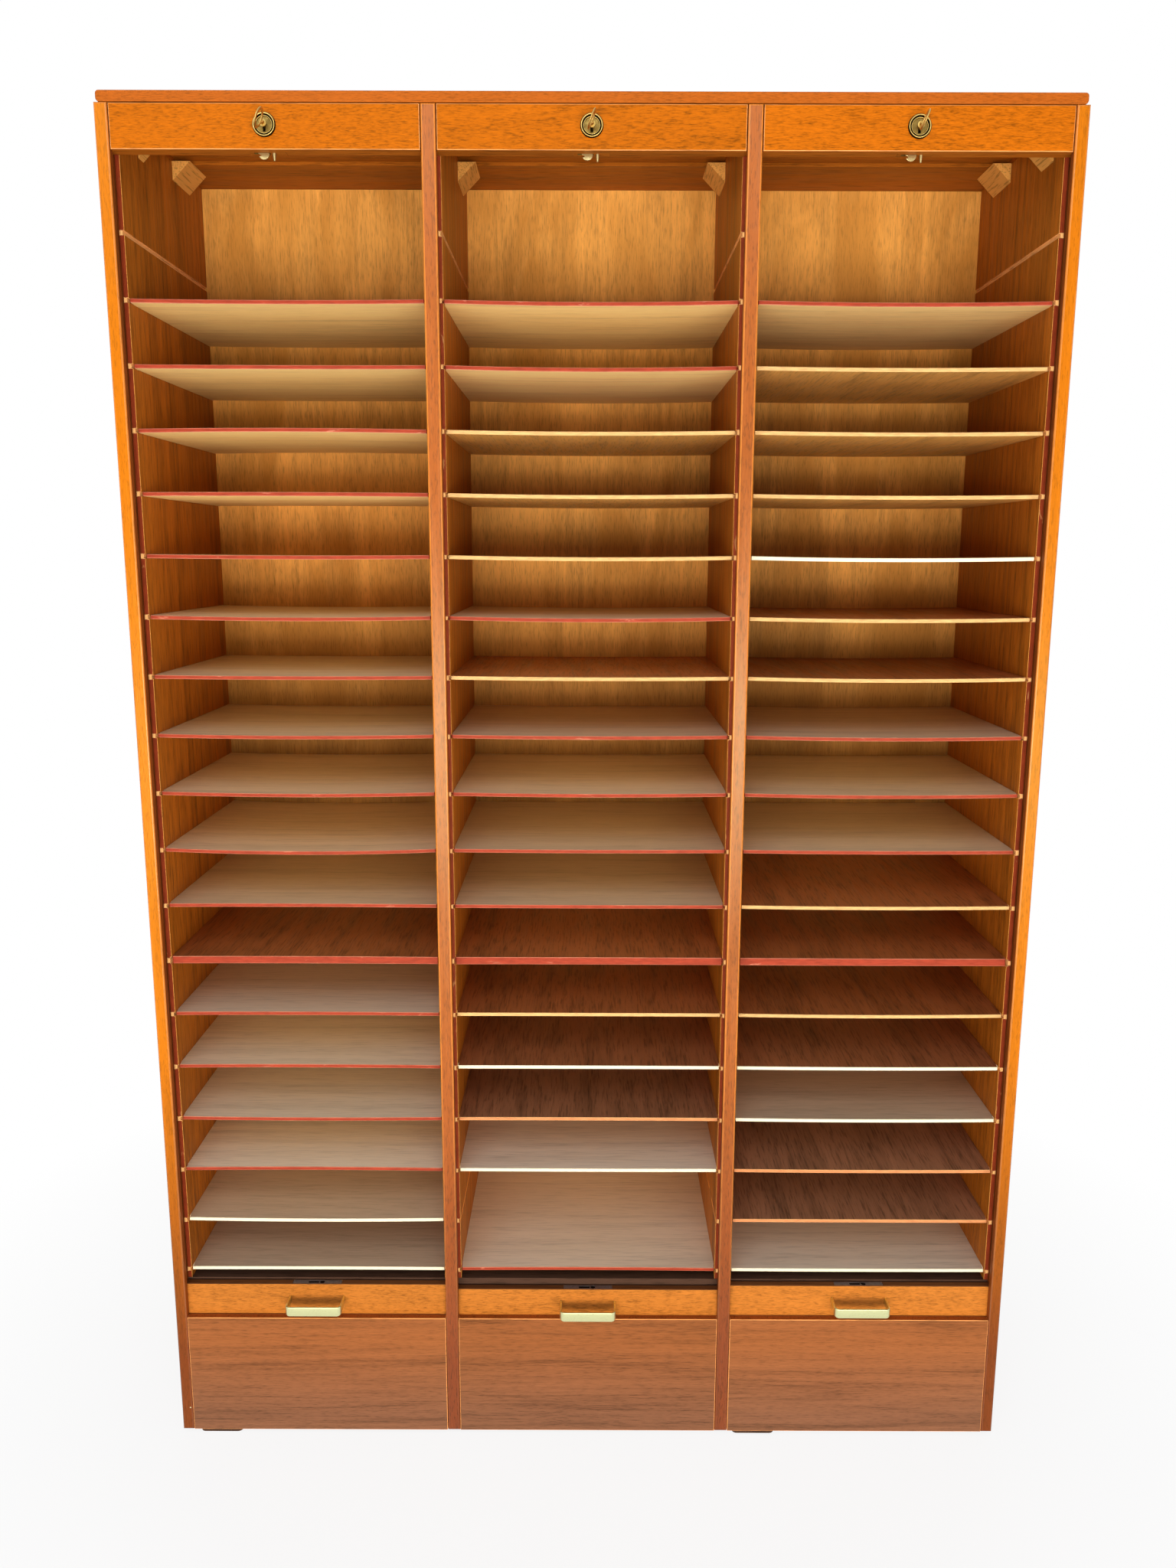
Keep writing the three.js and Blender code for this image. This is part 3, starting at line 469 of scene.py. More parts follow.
class Finish:
    """A material and the short calls that build its nodes."""

    def __init__(self, name):
        self.material = bpy.data.materials.new(name)
        self.material.use_nodes = True
        self.tree = self.material.node_tree
        self.shader = self.tree.nodes["Principled BSDF"]
        self.place = self.node("TexCoord").outputs["Object"]

    def feed(self, socket, value):
        """Joins an output to a socket, or sets the socket's own value."""
        if isinstance(value, bpy.types.NodeSocket):
            self.tree.links.new(value, socket)
        elif hasattr(value, "__len__") and socket.type == "RGBA":
            socket.default_value = (*value[:3], 1)
        else:
            socket.default_value = value

    def node(self, kind, inputs=(), **settings):
        """A node with its settings, and outputs or values on its inputs."""
        made = self.tree.nodes.new(f"ShaderNode{kind}")
        for key, value in settings.items():
            setattr(made, key, value)
        for key, value in dict(inputs).items():
            self.feed(made.inputs[key], value)
        return made

    def math(self, operation, a, b=0.0):
        """One step of arithmetic on numbers."""
        return self.node("Math", {0: a, 1: b}, operation=operation).outputs[0]

    def times(self, a, b):
        """One number times another."""
        return self.math("MULTIPLY", a, b)

    def weighed(self, parts, shares):
        """Sum of numbers, each times its share."""
        total, *others = (self.times(part, share) for part, share in zip(parts, shares))
        for other in others:
            total = self.math("ADD", total, other)
        return total

    def mix(self, share, a, b, blend="MIX"):
        """One colour laid over another by a share."""
        return self.node("Mix", {0: share, 6: a, 7: b}, data_type="RGBA", blend_type=blend).outputs[2]

    def toned(self, value, tinted):
        """A colour made darker or lighter by a number."""
        return self.node("HueSaturation", {"Value": value, "Color": tinted}).outputs[0]

    def spread(self, value, low, high, to_low, to_high):
        """A number carried from one range to another."""
        inputs = {0: value, 1: low, 2: high, 3: to_low, 4: to_high}
        return self.node("MapRange", inputs, clamp=True).outputs[0]

    def fact(self, name, output="Fac"):
        """An attribute of the mesh."""
        return self.node("Attribute", attribute_name=name).outputs[output]

    def part_of(self, vector, axis):
        """One part of a vector, 0 to 2."""
        return self.node("SeparateXYZ", {0: vector}).outputs[axis]

    def height(self):
        """Height above the floor."""
        return self.part_of(self.place, 2)

    def moved_place(self):
        """Object coordinates with each board's own shift."""
        shift = self.fact(SHIFT, "Vector")
        return self.node("VectorMath", {0: self.place, 1: shift}, operation="ADD").outputs[0]

    def cloud(self, place, scales, detail=3.0, distortion=0.0):
        """Noise from 0 to 1 whose size along each axis is set by three scales, in turns a metre."""
        stretched = self.node("VectorMath", {0: place, 1: scales}, operation="MULTIPLY").outputs[0]
        inputs = {
            "Vector": stretched, "Scale": 1.0, "Detail": detail, "Roughness": 0.6, "Distortion": distortion,
        }
        return self.node("TexNoise", inputs).outputs[0]

    def ramp(self, value, stops):
        """A run of colours or greys over a number."""
        made = self.node("ValToRGB", {0: value})
        elements = made.color_ramp.elements
        for place, (at, tint) in enumerate(stops):
            if place > 1:
                elements.new(at)
            elements[place].position = at
            tint = tint if hasattr(tint, "__len__") else (tint, tint, tint)
            elements[place].color = (*tint[:3], 1)
        return made.outputs[0]

    def raise_by(self, height, distance, strength):
        """Bump from a height from 0 to 1."""
        self.set(Normal=self.node("Bump", {"Height": height, "Distance": distance, "Strength": strength})
                 .outputs[0])

    def set(self, **values):
        """Values or outputs on the shader's sockets, underscores standing for spaces."""
        for key, value in values.items():
            self.feed(self.shader.inputs[key.replace("_", " ")], value)


def along_axis(axis, across, along):
    """Three noise scales: along the grain's axis, and across it on the other two."""
    return tuple(along if letter == axis else across for letter in "XYZ")


def wood(name, tint, axis="X", depth=0.5, bands=(9, 0.5), streaks=(60, 2.5), ticks=(420, 26), pores=0.35,
         swirl=0.6, gloss=0.42, sheen=0.25, foot=None, balance=(0.45, 0.35, 0.2), warmth=(1.0, 0.7, 0.4)):
    """Varnished or bare wood: broad bands, fine streaks and short ticks of noise stretched along the grain,
    mixed into one run from dark to pale, with dark pores over it and bump and gloss from the fine grain. A
    foot is another colour below a height and the height where it has faded out; on the lips it is painted
    shade, on the fascias a painted reflection and on the pale shelves painted light."""
    finish = Finish(name)
    place = finish.moved_place()
    broad = finish.cloud(place, along_axis(axis, *bands), 3.0, swirl)
    fine = finish.cloud(place, along_axis(axis, *streaks), 4.0, swirl / 2)
    short = finish.cloud(place, along_axis(axis, *ticks), 2.0)
    grain = finish.weighed((broad, fine, short), balance)
    stops = ((0.34, shaded(tint, 1 - depth)), (0.5, tint), (0.66, shaded(tint, 1 + 0.45 * depth)))
    tinted = finish.ramp(grain, stops)
    if foot is not None:
        below, low, high = foot
        share = finish.spread(finish.height(), low, high, 1.0, 0.0)
        tinted = finish.mix(
            share, tinted, finish.ramp(grain, [(at, matched(c, tint, below)) for at, c in stops]))
    tinted = finish.mix(1.0, tinted, finish.ramp(short, ((0.36, 1.0 - pores), (0.46, 1.0))), "MULTIPLY")
    tone = finish.spread(finish.fact(TONE), -1.0, 1.0, 0.68, 1.32)
    finish.set(Base_Color=finish.toned(tone, tinted), Specular_IOR_Level=sheen, Specular_Tint=warmth,
               Roughness=finish.spread(fine, 0.3, 0.7, gloss - 0.06, gloss + 0.08))
    finish.raise_by(finish.math("ADD", short, fine), 0.0003, 0.35)
    return finish.material


def matched(tinted, tint, foot):
    """The foot's colour, made darker or lighter as the tinted one is against its tint."""
    return shaded(foot, sum(tinted) / max(sum(tint), 1e-6))


def plywood(name, tint, lower=1.0):
    """Rotary-cut veneer with its grain upright: cloudy patches, short speckled ticks, fine lines and browner
    patches, and a factor on the colour of the lower half, which is painted shade."""
    finish = Finish(name)
    place = finish.moved_place()
    clouds = finish.cloud(place, (7, 7, 4), 4.0, 1.2)
    ticks = finish.cloud(place, (700, 700, 60), 2.0)
    lines = finish.cloud(place, (130, 130, 6), 3.0, 0.5)
    grain = finish.weighed((clouds, ticks, lines), (0.45, 0.2, 0.35))
    tinted = finish.ramp(grain, ((0.38, shaded(tint, 0.7)), (0.5, tint), (0.61, shaded(tint, 1.2))))
    browner = finish.spread(finish.cloud(place, (11, 11, 3), 3.0, 0.8), 0.45, 0.62, 0.0, 0.7)
    tinted = finish.mix(browner, tinted, tuple(c * k for c, k in zip(tint, (0.74, 0.66, 0.46))))
    flecks_and_shade = finish.ramp(ticks, ((0.34, 0.8), (0.46, 1.0)))
    # Darker low down: painted shade
    flecks_and_shade = finish.times(flecks_and_shade, finish.spread(finish.height(), 0.95, 1.25, lower, 1.0))
    finish.set(Base_Color=finish.mix(1.0, tinted, flecks_and_shade, "MULTIPLY"), Roughness=0.6,
               Specular_IOR_Level=0.3, Specular_Tint=(1.0, 0.88, 0.72))
    finish.raise_by(ticks, 0.0002, 0.3)
    return finish.material


def painted_edge(name, tint, worn, chips, axis="X", gloss=0.5, brush=0.2, kerfs=None):
    """Brushed paint or bare wood on a front edge: both arrises are paler, partly from wear and partly as a
    painted highlight, chips show the wood, and so does the neighbourhood of each kerf where the height of
    one, the distance between them and a top limit are given."""
    finish = Finish(name)
    place = finish.moved_place()
    upward = finish.part_of(finish.node("TexCoord").outputs["Normal"], 2)
    brushed = finish.cloud(place, along_axis(axis, 400, 70), 3.0)
    blots = finish.cloud(place, along_axis(axis, 90, 26), 3.0, 0.5)
    tinted = finish.ramp(brushed, ((0.34, shaded(tint, 1 - brush)), (0.66, shaded(tint, 1 + 0.7 * brush))))
    # Paler arrises, found by the faces' slope: partly paint wear, partly a painted highlight
    rubbed_and_highlit = finish.spread(finish.math("ABSOLUTE", upward), 0.15, 0.6, 0.0, 0.8)
    rubbed_and_highlit = finish.times(rubbed_and_highlit, finish.spread(blots, 0.3, 0.6, 0.5, 1.0))
    tinted = finish.mix(rubbed_and_highlit, tinted, worn)
    chipped = finish.times(finish.spread(blots, 0.66, 0.7, 0.0, 1.0), chips)
    tinted = finish.mix(chipped, tinted, shaded(worn, 1.2))
    if kerfs is not None:
        level, pitch, limit = kerfs
        height = finish.height()
        off = finish.math("PINGPONG", finish.math("SUBTRACT", height, level), pitch / 2)
        near = finish.spread(
            finish.math("SUBTRACT", off, finish.times(blots, 0.004)), 0.0006, 0.0014, 1.0, 0.0)
        near = finish.times(near, finish.math("LESS_THAN", height, limit))
        tinted = finish.mix(near, tinted, shaded(worn, 1.1))
    finish.set(Base_Color=tinted, Roughness=gloss, Specular_IOR_Level=0.2, Specular_Tint=(1.0, 0.75, 0.5))
    finish.raise_by(brushed, 0.0002, 0.3)
    return finish.material


def metal(name, tint, gloss, tarnish, brushed=(900, 900, 60)):
    """Metal with fine brush marks and cloudy tarnish."""
    finish = Finish(name)
    marks = finish.cloud(finish.place, brushed, 2.0)
    clouds = finish.cloud(finish.place, (160, 160, 160), 4.0, 0.6)
    dull = finish.spread(clouds, 0.35, 0.7, 0.0, tarnish)
    rough = finish.math("ADD", finish.spread(marks, 0.3, 0.7, gloss - 0.05, gloss + 0.07), dull)
    finish.set(Base_Color=finish.mix(dull, tint, shaded(tint, 0.35)), Metallic=1.0,
               Roughness=finish.math("MINIMUM", rough, 0.9))
    finish.raise_by(marks, 0.00005, 0.25)
    return finish.material


def slat_wood(name, tint, pitch):
    """Curtain slats: each has its own tone by its place in the curtain, and fine grain along its length."""
    finish = Finish(name)
    place = finish.moved_place()
    down = finish.part_of(finish.node("UVMap", uv_map="distance").outputs[0], 1)
    slat = finish.math("FLOOR", finish.math("DIVIDE", down, pitch))
    own = finish.node("TexWhiteNoise", {"W": slat}, noise_dimensions="1D").outputs[0]
    fine = finish.cloud(place, (4, 60, 140), 4.0, 0.3)
    short = finish.cloud(place, (30, 200, 500), 2.0)
    grain = finish.weighed((fine, short), (0.7, 0.3))
    tinted = finish.ramp(grain, ((0.34, shaded(tint, 0.6)), (0.5, tint), (0.66, shaded(tint, 1.2))))
    finish.set(Base_Color=finish.toned(finish.spread(own, 0.0, 1.0, 0.82, 1.14), tinted),
               Roughness=0.42, Specular_IOR_Level=0.35, Specular_Tint=(1.0, 0.86, 0.7))
    finish.raise_by(short, 0.0002, 0.3)
    return finish.material


def canvas_cloth(name, tint):
    """Coarse plain weave: threads along X crossed by threads along Z."""
    finish = Finish(name)
    threads = {"Vector": finish.place, "Scale": 260.0}
    weave = finish.times(*(finish.node("TexWave", threads, bands_direction=axis).outputs[1] for axis in "XZ"))
    finish.set(Base_Color=finish.ramp(weave, ((0.0, shaded(tint, 0.6)), (1.0, tint))), Roughness=0.9)
    finish.raise_by(weave, 0.0003, 0.6)
    return finish.material


def make_finishes(woods, metals, boards, curtain):
    """All materials of the cabinet by name."""
    tint = {key: linear(getattr(woods, key)) for key in WoodColours.__annotations__}
    shine = {key: linear(getattr(metals, key)) for key in MetalColours.__annotations__}
    levels = kerf_levels("left", boards)
    kerfs = float(levels[FIXED_KERF]), boards.shelf_pitch, float(levels[-1] + boards.shelf_pitch / 2)
    figured = dict(bands=(22, 4), streaks=(380, 70), ticks=(820, 130), swirl=1.8, balance=(0.2, 0.42, 0.38),
                   pores=0.12, warmth=(1.0, 0.62, 0.18))
    rail = dict(figured, gloss=0.4, sheen=0.28)
    # The lips darken towards the floor: painted shade
    lips = dict(bands=(30, 1.2), streaks=(160, 6), ticks=(600, 90), foot=(tint["lip_foot"], 0.14, 0.6),
                gloss=0.24)
    shelf = dict(bands=(26, 3), streaks=(90, 8))
    FINISHES.update(
        rail=wood("rail_sapele", tint["rail"], "X", 0.58, **rail),
        top_edge=wood("top_edge_sapele", tint["top_edge"], "X", 0.42, **rail),
        side_lip=wood("side_lip_sapele", tint["side_lip"], "Z", 0.22, pores=0.2, sheen=0.5,
                      warmth=(1.0, 0.78, 0.22), **lips),
        lip=wood("lip_sapele", tint["lip"], "Z", 0.34, pores=0.3, sheen=0.6, warmth=(1.0, 0.84, 0.5), **lips),
        # The rounded arrises are lighter than the lips: a painted highlight
        lip_edge=wood("lip_arris", tint["lip_edge"], "Z", 0.3, pores=0.2, sheen=0.9,
                      warmth=(1.0, 0.86, 0.5), **lips),
        inside_lip=wood("lip_inside", tint["inside_lip"], "Z", 0.4, gloss=0.5),
        veneer=wood("side_veneer", tint["veneer"], "Z", 0.36, bands=(16, 0.5)),
        top_veneer=wood("top_veneer", tint["veneer"], "X", 0.36, bands=(16, 0.5)),
        ceiling=wood("ceiling_mahogany", tint["ceiling"], "X", 0.4, gloss=0.55),
        # Greyer at its foot: a painted reflection of the floor
        fascia=wood("fascia_mahogany", tint["fascia"], "X", 0.52, bands=(44, 1.6), streaks=(300, 8),
                    ticks=(820, 70), pores=0.16, swirl=1.5, foot=(tint["fascia_foot"], 0.03, 0.15),
                    balance=(0.4, 0.36, 0.24)),
        # Eased arrises of rails and fascias: partly wear, partly a painted highlight
        worn=wood("worn_arris", tint["worn"], "X", 0.25, gloss=0.5, bands=(60, 20)),
        lead=wood("lead_rail_sapele", tint["lead"], "X", 0.48, gloss=0.38, **figured),
        # A dark copy of the fascia wood on the lead rails' tops: painted shade
        lead_top=wood("lead_rail_top", shaded(tint["fascia"], 0.5), "X", 0.3, gloss=0.55, sheen=0.4),
        lining=wood("lining_mahogany", tint["lining"], "Z", 0.55, bands=(52, 0.5), streaks=(150, 2),
                    ticks=(500, 30), swirl=0.3, gloss=0.48, balance=(0.55, 0.3, 0.15)),
        lining_edge=painted_edge("lining_edge_paint", tint["lining_edge"], tint["raw"], 0.25, "Z",
                                 kerfs=kerfs),
        raw=wood("raw_wood", tint["raw"], "Y", 0.25, gloss=0.7, sheen=0.2),
        # The inner backs darken low down: painted shade
        plywood=plywood("inner_back_plywood", tint["plywood"], lower=0.5),
        back=plywood("back_sheet_plywood", shaded(tint["plywood"], 0.7)),
        # Birch tops paler and greyer low down: painted light from above
        birch=wood("birch_shelf", tint["birch"], "X", 0.2, bands=(16, 0.9), streaks=(60, 1.6),
                   ticks=(420, 24), pores=0.1, swirl=1.6, gloss=0.55, foot=(tint["low_birch"], 0.5, 0.8)),
        # Undersides, brighter and warmer than the tops: painted light from below
        clean=wood("clean_birch", tint["clean_birch"], "X", 0.2, bands=(22, 1.6), streaks=(90, 3.5),
                   ticks=(420, 30), pores=0.06, swirl=1.6, gloss=0.6, sheen=0.12),
        grey=wood("grey_birch_shelf", tint["grey_birch"], "X", 0.2, bands=(14, 1.2), pores=0.1, swirl=1.4,
                  gloss=0.6),
        mahogany=wood("mahogany_shelf", tint["dark_shelf"], "Y", 0.5, pores=0.3, gloss=0.45,
                      foot=(tint["dusty_shelf"], 0.46, 0.62), **shelf),
        # Undersides, much paler than the tops: painted light from below
        under=wood("mahogany_underside", tint["clean_mahogany"], "Y", 0.35, pores=0.2, **shelf),
        # Paler arrises on these edges: partly wear, partly a painted highlight
        red=painted_edge("red_edge", tint["red_paint"], (0.74, 0.3, 0.18), 0.3),
        cream=painted_edge("cream_edge", tint["cream_paint"], tint["cream_paint"], 0.0, brush=0.05),
        tan=painted_edge("tan_edge", tint["tan_edge"], shaded(tint["tan_edge"], 1.2), 0.0, gloss=0.6),
        brown=painted_edge("brown_edge", tint["brown_edge"], tint["tan_edge"], 0.1, gloss=0.6),
        dark=wood("dark_wood", tint["dark"], "X", 0.4, gloss=0.6, sheen=0.2),
        # Near-black copy of the dark wood in the mortises: painted shade
        mortise=wood("mortise_wood", shaded(tint["dark"], 0.3), "X", 0.3, gloss=0.8, sheen=0.1),
        # Darker copy of the lip wood inside the track: painted shade
        track=wood("track_wood", shaded(tint["inside_lip"], 0.6), "Z", 0.3, gloss=0.7, sheen=0.15),
        block=wood("glue_block_wood", tint["block"], "Y", 0.3, gloss=0.65, sheen=0.08),
        # Slightly darker copy of the ceiling wood on the panels' front edges: painted shade
        panel_edge=wood("panel_edge_wood", shaded(tint["ceiling"], 0.95), "X", 0.3, gloss=0.6, sheen=0.1),
        slats=slat_wood("slat_wood", tint["slats"], curtain.slat_pitch),
        canvas=canvas_cloth("curtain_canvas", tint["canvas"]),
        brass=metal("polished_brass", shine["brass"], 0.22, 0.3),
        groove=metal("tarnished_brass", shine["groove"], 0.4, 0.4),
        bronze=metal("lock_bronze", shine["bronze"], 0.34, 0.35),
        key=metal("key_brass", shine["key"], 0.28, 0.25),
        bright=metal("bright_brass", shine["bright"], 0.26, 0.2),
        champagne=metal("champagne_metal", shine["champagne"], 0.28, 0.06, (60, 900, 900)),
        steel=metal("dull_steel", shine["steel"], 0.42, 0.3, (60, 900, 900)),
    )


# Pieces
def at_front(middle):
    """Whether a point lies at the front of the cabinet."""
    return middle.y < FRONT + 0.002


def upright_chooser(outer, lip_depth):
    """Finish numbers of a side's or partition's faces; outer is the side that shows outside, or 0."""

    def choose(middle, normal):
        if normal.y < -ALONG and middle.y < FRONT + HAIR:
            return 0
        if outer * normal.x > ALONG and abs(middle.x) > CAD_BOX[1][0] - MM:
            return 2
        # Faces behind the lips, in the track, take a darker wood: painted shade
        return 3 if middle.y < FRONT + lip_depth + HAIR else 4

    return choose


def build_uprights(boards):
    """The sides and partitions, with rounded lips."""
    for name, outer in (("side_left", -1), ("side_right", 1), ("partition_left", 0), ("partition_right", 0)):
        finishes = "side_lip" if outer else "lip", "lip_edge", "veneer", "inside_lip", "track"
        chooser = upright_chooser(outer, boards.lip_depth)
        eased_piece(name, f"{name}_board", boards.lip_arris, chooser, finishes, "sapele",
                    where=at_front, segments=3)


def ceiling_limits(name):
    """X and Y limits of a column's ceiling, between its linings, its top rail and its inner back."""
    low, high = corners(f"lining_slotted_{name}")
    centre = column_centre(name)
    half = low[0] - centre - HAIR
    return centre - half, centre + half, corners(f"top_rail_{name}")[1][1] + MM, high[1]


def raise_ceilings(mesh, depth):
    """Lifts the top board's underside over each column by a depth, where the ceiling panels are let in."""
    work = bmesh.new()
    work.from_mesh(mesh)
    limits = [ceiling_limits(name) for name in COLUMNS]
    for x0, x1, y0, y1 in limits:
        for axis, place in ((0, x0), (0, x1), (1, y0), (1, y1)):
            normal = np.eye(3)[axis]
            bmesh.ops.bisect_plane(work, geom=[*work.verts, *work.edges, *work.faces], dist=1e-7,
                                   plane_co=place * normal, plane_no=normal)
    for x0, x1, y0, y1 in limits:
        inside = []
        for face in work.faces:
            x, y, _ = face.calc_center_median()
            if face.normal.z < -ALONG and x0 < x < x1 and y0 < y < y1:
                inside.append(face)
        made = bmesh.ops.extrude_face_region(work, geom=inside)["geom"]
        lifted = [part for part in made if isinstance(part, bmesh.types.BMVert)]
        bmesh.ops.translate(work, verts=lifted, vec=(0, 0, depth))
        bmesh.ops.delete(work, geom=[face for face in inside if face.is_valid], context="FACES_ONLY")
    work.to_mesh(mesh)
    work.free()


def build_top(boards):
    """The top board, hollowed from below for the ceiling panels."""
    mesh = eased_mesh("top_board", "top_board_eased", boards.arris)
    raise_ceilings(mesh, boards.ceiling_thickness)
    choose_finishes(mesh, lambda middle, normal: 3 if normal.z < -ALONG else 2 if normal.z > ALONG else 0)
    add_piece(mesh, ("top_edge", "top_edge", "top_veneer", "ceiling"), CASE, ["top_board"])


def build_plain_boards():
    """Solids that stay as they are and only get their wood."""
    dress_node("base_board", "ceiling")
    dress_node("back_sheet", "back")
    for corner in ("front_left", "front_right", "rear_left", "rear_right"):
        dress_node(f"foot_{corner}", "dark")
    for name in COLUMNS:
        dress_node(f"deck_{name}", "dark")
        dress_node(f"inner_back_{name}", "plywood")


def build_fascias(boards):
    """The boards at the foot of the columns, eased all round."""
    for name in COLUMNS:
        eased_piece(f"fascia_{name}", f"fascia_{name}_board", boards.arris,
                    lambda middle, normal: 2 if normal.z > ALONG else 0,
                    ("fascia", "worn", "inside_lip"), "mahogany")


def build_top_rails(boards):
    """The rails over the columns, eased at the front."""
    for name in COLUMNS:
        node = f"top_rail_{name}"
        bottom = corners(node)[0][2] + MM
        eased_piece(node, f"{node}_board", boards.arris,
                    lambda middle, normal: 2 if normal.z < -ALONG and middle.z < bottom else 0,
                    ("rail", "worn", "ceiling"), "sapele", where=at_front)


def lead_chooser(low, high):
    """Finish numbers of a lead rail's faces: the top edge is darker and the mortises in it are darkest, both
    as painted shade.
    """
    wall, floor, reach = 0.002, 0.01, 0.1

    def choose(middle, normal):
        inside = low[1] + wall < middle.y < high[1] - wall and middle.z > low[2] + floor
        sunk = abs(normal.z) < 0.5 or middle.z < high[2] - wall
        if inside and sunk and abs(middle.x - (low[0] + high[0]) / 2) < reach:
            return 3
        return 2 if normal.z > 0.5 else 0

    return choose


def build_lead_rails(boards):
    """The first bar of each curtain, eased at its upper front edge, and its strike plate."""
    for name in COLUMNS:
        node = f"lead_rail_{name}"
        low, high = corners(node)
        front, top = low[1] + MM / 2, high[2] - MM
        eased_piece(node, f"{node}_bar", boards.arris, lead_chooser(low, high),
                    ("lead", "worn", "lead_top", "mortise"), "sapele", f"lead_{name}",
                    where=lambda middle: middle.y < front and middle.z > top)
        dress_node(f"strike_plate_{name}", "steel")


def kerf_levels(name, boards):
    """Heights of the kerfs of a column, counted from the one that holds its fixed shelf."""
    low, high = corners(f"fixed_shelf_{name}")
    return (low[2] + high[2]) / 2 + (np.arange(boards.kerf_count) - FIXED_KERF) * boards.shelf_pitch


def build_linings(boards):
    """A lining is an outline with a kerf for each shelf, carried back; its inner front arris is worn."""
    for name in COLUMNS:
        low, high = corners(f"lining_slotted_{name}")
        centre = column_centre(name)
        for side, source, towards in (("left", "shelved", 1), ("right", "slotted", -1)):
            inner, outer = (centre - towards * (x - centre) for x in (low[0], high[0]))
            floor = inner - towards * boards.kerf_depth
            rows = []
            for kerf, level in enumerate(kerf_levels(name, boards)):
                half = kerf_thickness(name, kerf, boards) / 2 + boards.kerf_slack
                rows += [(inner, level - half), (floor, level - half),
                         (floor, level + half), (inner, level + half)]
            section = np.array([(outer, high[2]), (outer, low[2]), (inner, low[2]), *rows, (inner, high[2])])
            on_face = np.abs(section[:, 0] - inner) < HAIR
            first = section.copy()
            first[on_face, 0] -= towards * boards.lining_arris
            depths = low[1], low[1] + boards.lining_arris, high[1]
            grid = np.stack([
                np.insert(outline, 1, y, 1) for outline, y in zip((first, section, section), depths)])
            flat = on_face & np.roll(on_face, -1)
            bare = np.where(~flat & (np.arange(len(section)) > 2), 3, 0)
            finish = np.stack([np.where(flat, 2, bare), bare])
            mesh = grid_mesh(f"lining_{side}_{name}", grid, finish=finish, cap_finish=(1, 0))
            finishes = "lining", "lining_edge", "block", "raw"
            add_piece(mesh, finishes, CASE, [f"lining_{source}_{name}"])


def column_centre(name):
    """X of the middle of a column."""
    low, high = corners(f"fascia_{name}")
    return (low[0] + high[0]) / 2


def kerf_thickness(name, kerf, boards):
    """Thickness of the shelf that a kerf is cut for."""
    if kerf == FIXED_KERF:
        low, high = corners(f"fixed_shelf_{name}")
        return high[2] - low[2]
    return boards.shelf_thickness


def build_shelves(boards):
    """A shelf is a section with a rounded front, carried from kerf to kerf along a shallow parabola; the
    front of its ends is cut back, so the kerfs' bare wood shows beside it. The highest kerf stays empty."""
    edges = {"r": "red", "t": "tan", "c": "cream", "n": "brown"}
    # Undersides take paler finishes than the tops: painted light from below
    faces = {
        "b": ("birch", "clean", "birch"), "m": ("mahogany", "under", "mahogany"),
        "g": ("grey", "under", "birch"),
    }
    for name in COLUMNS:
        low, high = corners(f"lining_slotted_{name}")
        centre = column_centre(name)
        opening = low[0] - centre
        half_width = opening + boards.kerf_depth - boards.kerf_slack
        front_half, end = opening - 11 * HAIR, opening - 4 * HAIR
        across = np.concatenate([[-half_width, -end], np.linspace(-1, 1, 13) * front_half, [end, half_width]])
        share = 1 - (across / half_width) ** 2
        cut_back = np.where(np.abs(across) > (front_half + end) / 2, boards.shelf_notch, 0)
        start = low[1] + boards.shelf_setback
        levels = kerf_levels(name, boards)
        for place, (kind, bow) in enumerate(zip(SHELF_KINDS[name], SHELF_BOWS[name])):
            if kind == "--":
                continue
            kerf = boards.kerf_count - 2 - place
            thickness = kerf_thickness(name, kerf, boards)
            section = rounded_section((start, -thickness / 2), (high[1], thickness / 2), boards.shelf_round)
            section = np.roll(section, -4, 0)  # so that it starts at its upper front arris
            origins = np.stack([centre + across, np.zeros(len(across)), levels[kerf] + bow * MM * share], 1)
            grid = carried(section, origins)
            grid[:, :, 1] += cut_back[:, None] * (section[:, 0] < start + boards.shelf_round * 1.01)
            depths, heights = (section + np.roll(section, -1, 0)).T / 2
            below = heights < -0.45 * thickness
            finish = np.where(depths < start + boards.shelf_round, 1, np.where(below, 2, 0))
            mesh = grid_mesh(f"shelf_{name}_{place + 1:02d}", grid, finish=finish)
            over, under, slot = faces[kind[1]]
            source = f"fixed_shelf_{name}" if kerf == FIXED_KERF else f"lining_shelved_{name}"
            add_piece(mesh, (over, edges[kind[0]], under), CASE, [source])


def build_ceiling_panels(boards):
    """A ceiling panel is a flat board with rounded arrises between the linings."""
    underside = corners("top_board")[0][2]
    for name in COLUMNS:
        x0, x1, _, y1 = ceiling_limits(name)
        low = FRONT + boards.ceiling_start, underside
        high = y1 - HAIR, underside + boards.ceiling_thickness - HAIR
        section = rounded_section(low, high, 4 * HAIR, 2)
        mesh = board_mesh(f"ceiling_panel_{name}", section, x0 + 2 * HAIR, x1 - 2 * HAIR)
        choose_finishes(mesh, lambda middle, normal: 1 if normal.y < -0.7 else 0)
        add_piece(mesh, ("ceiling", "panel_edge"), CASE)


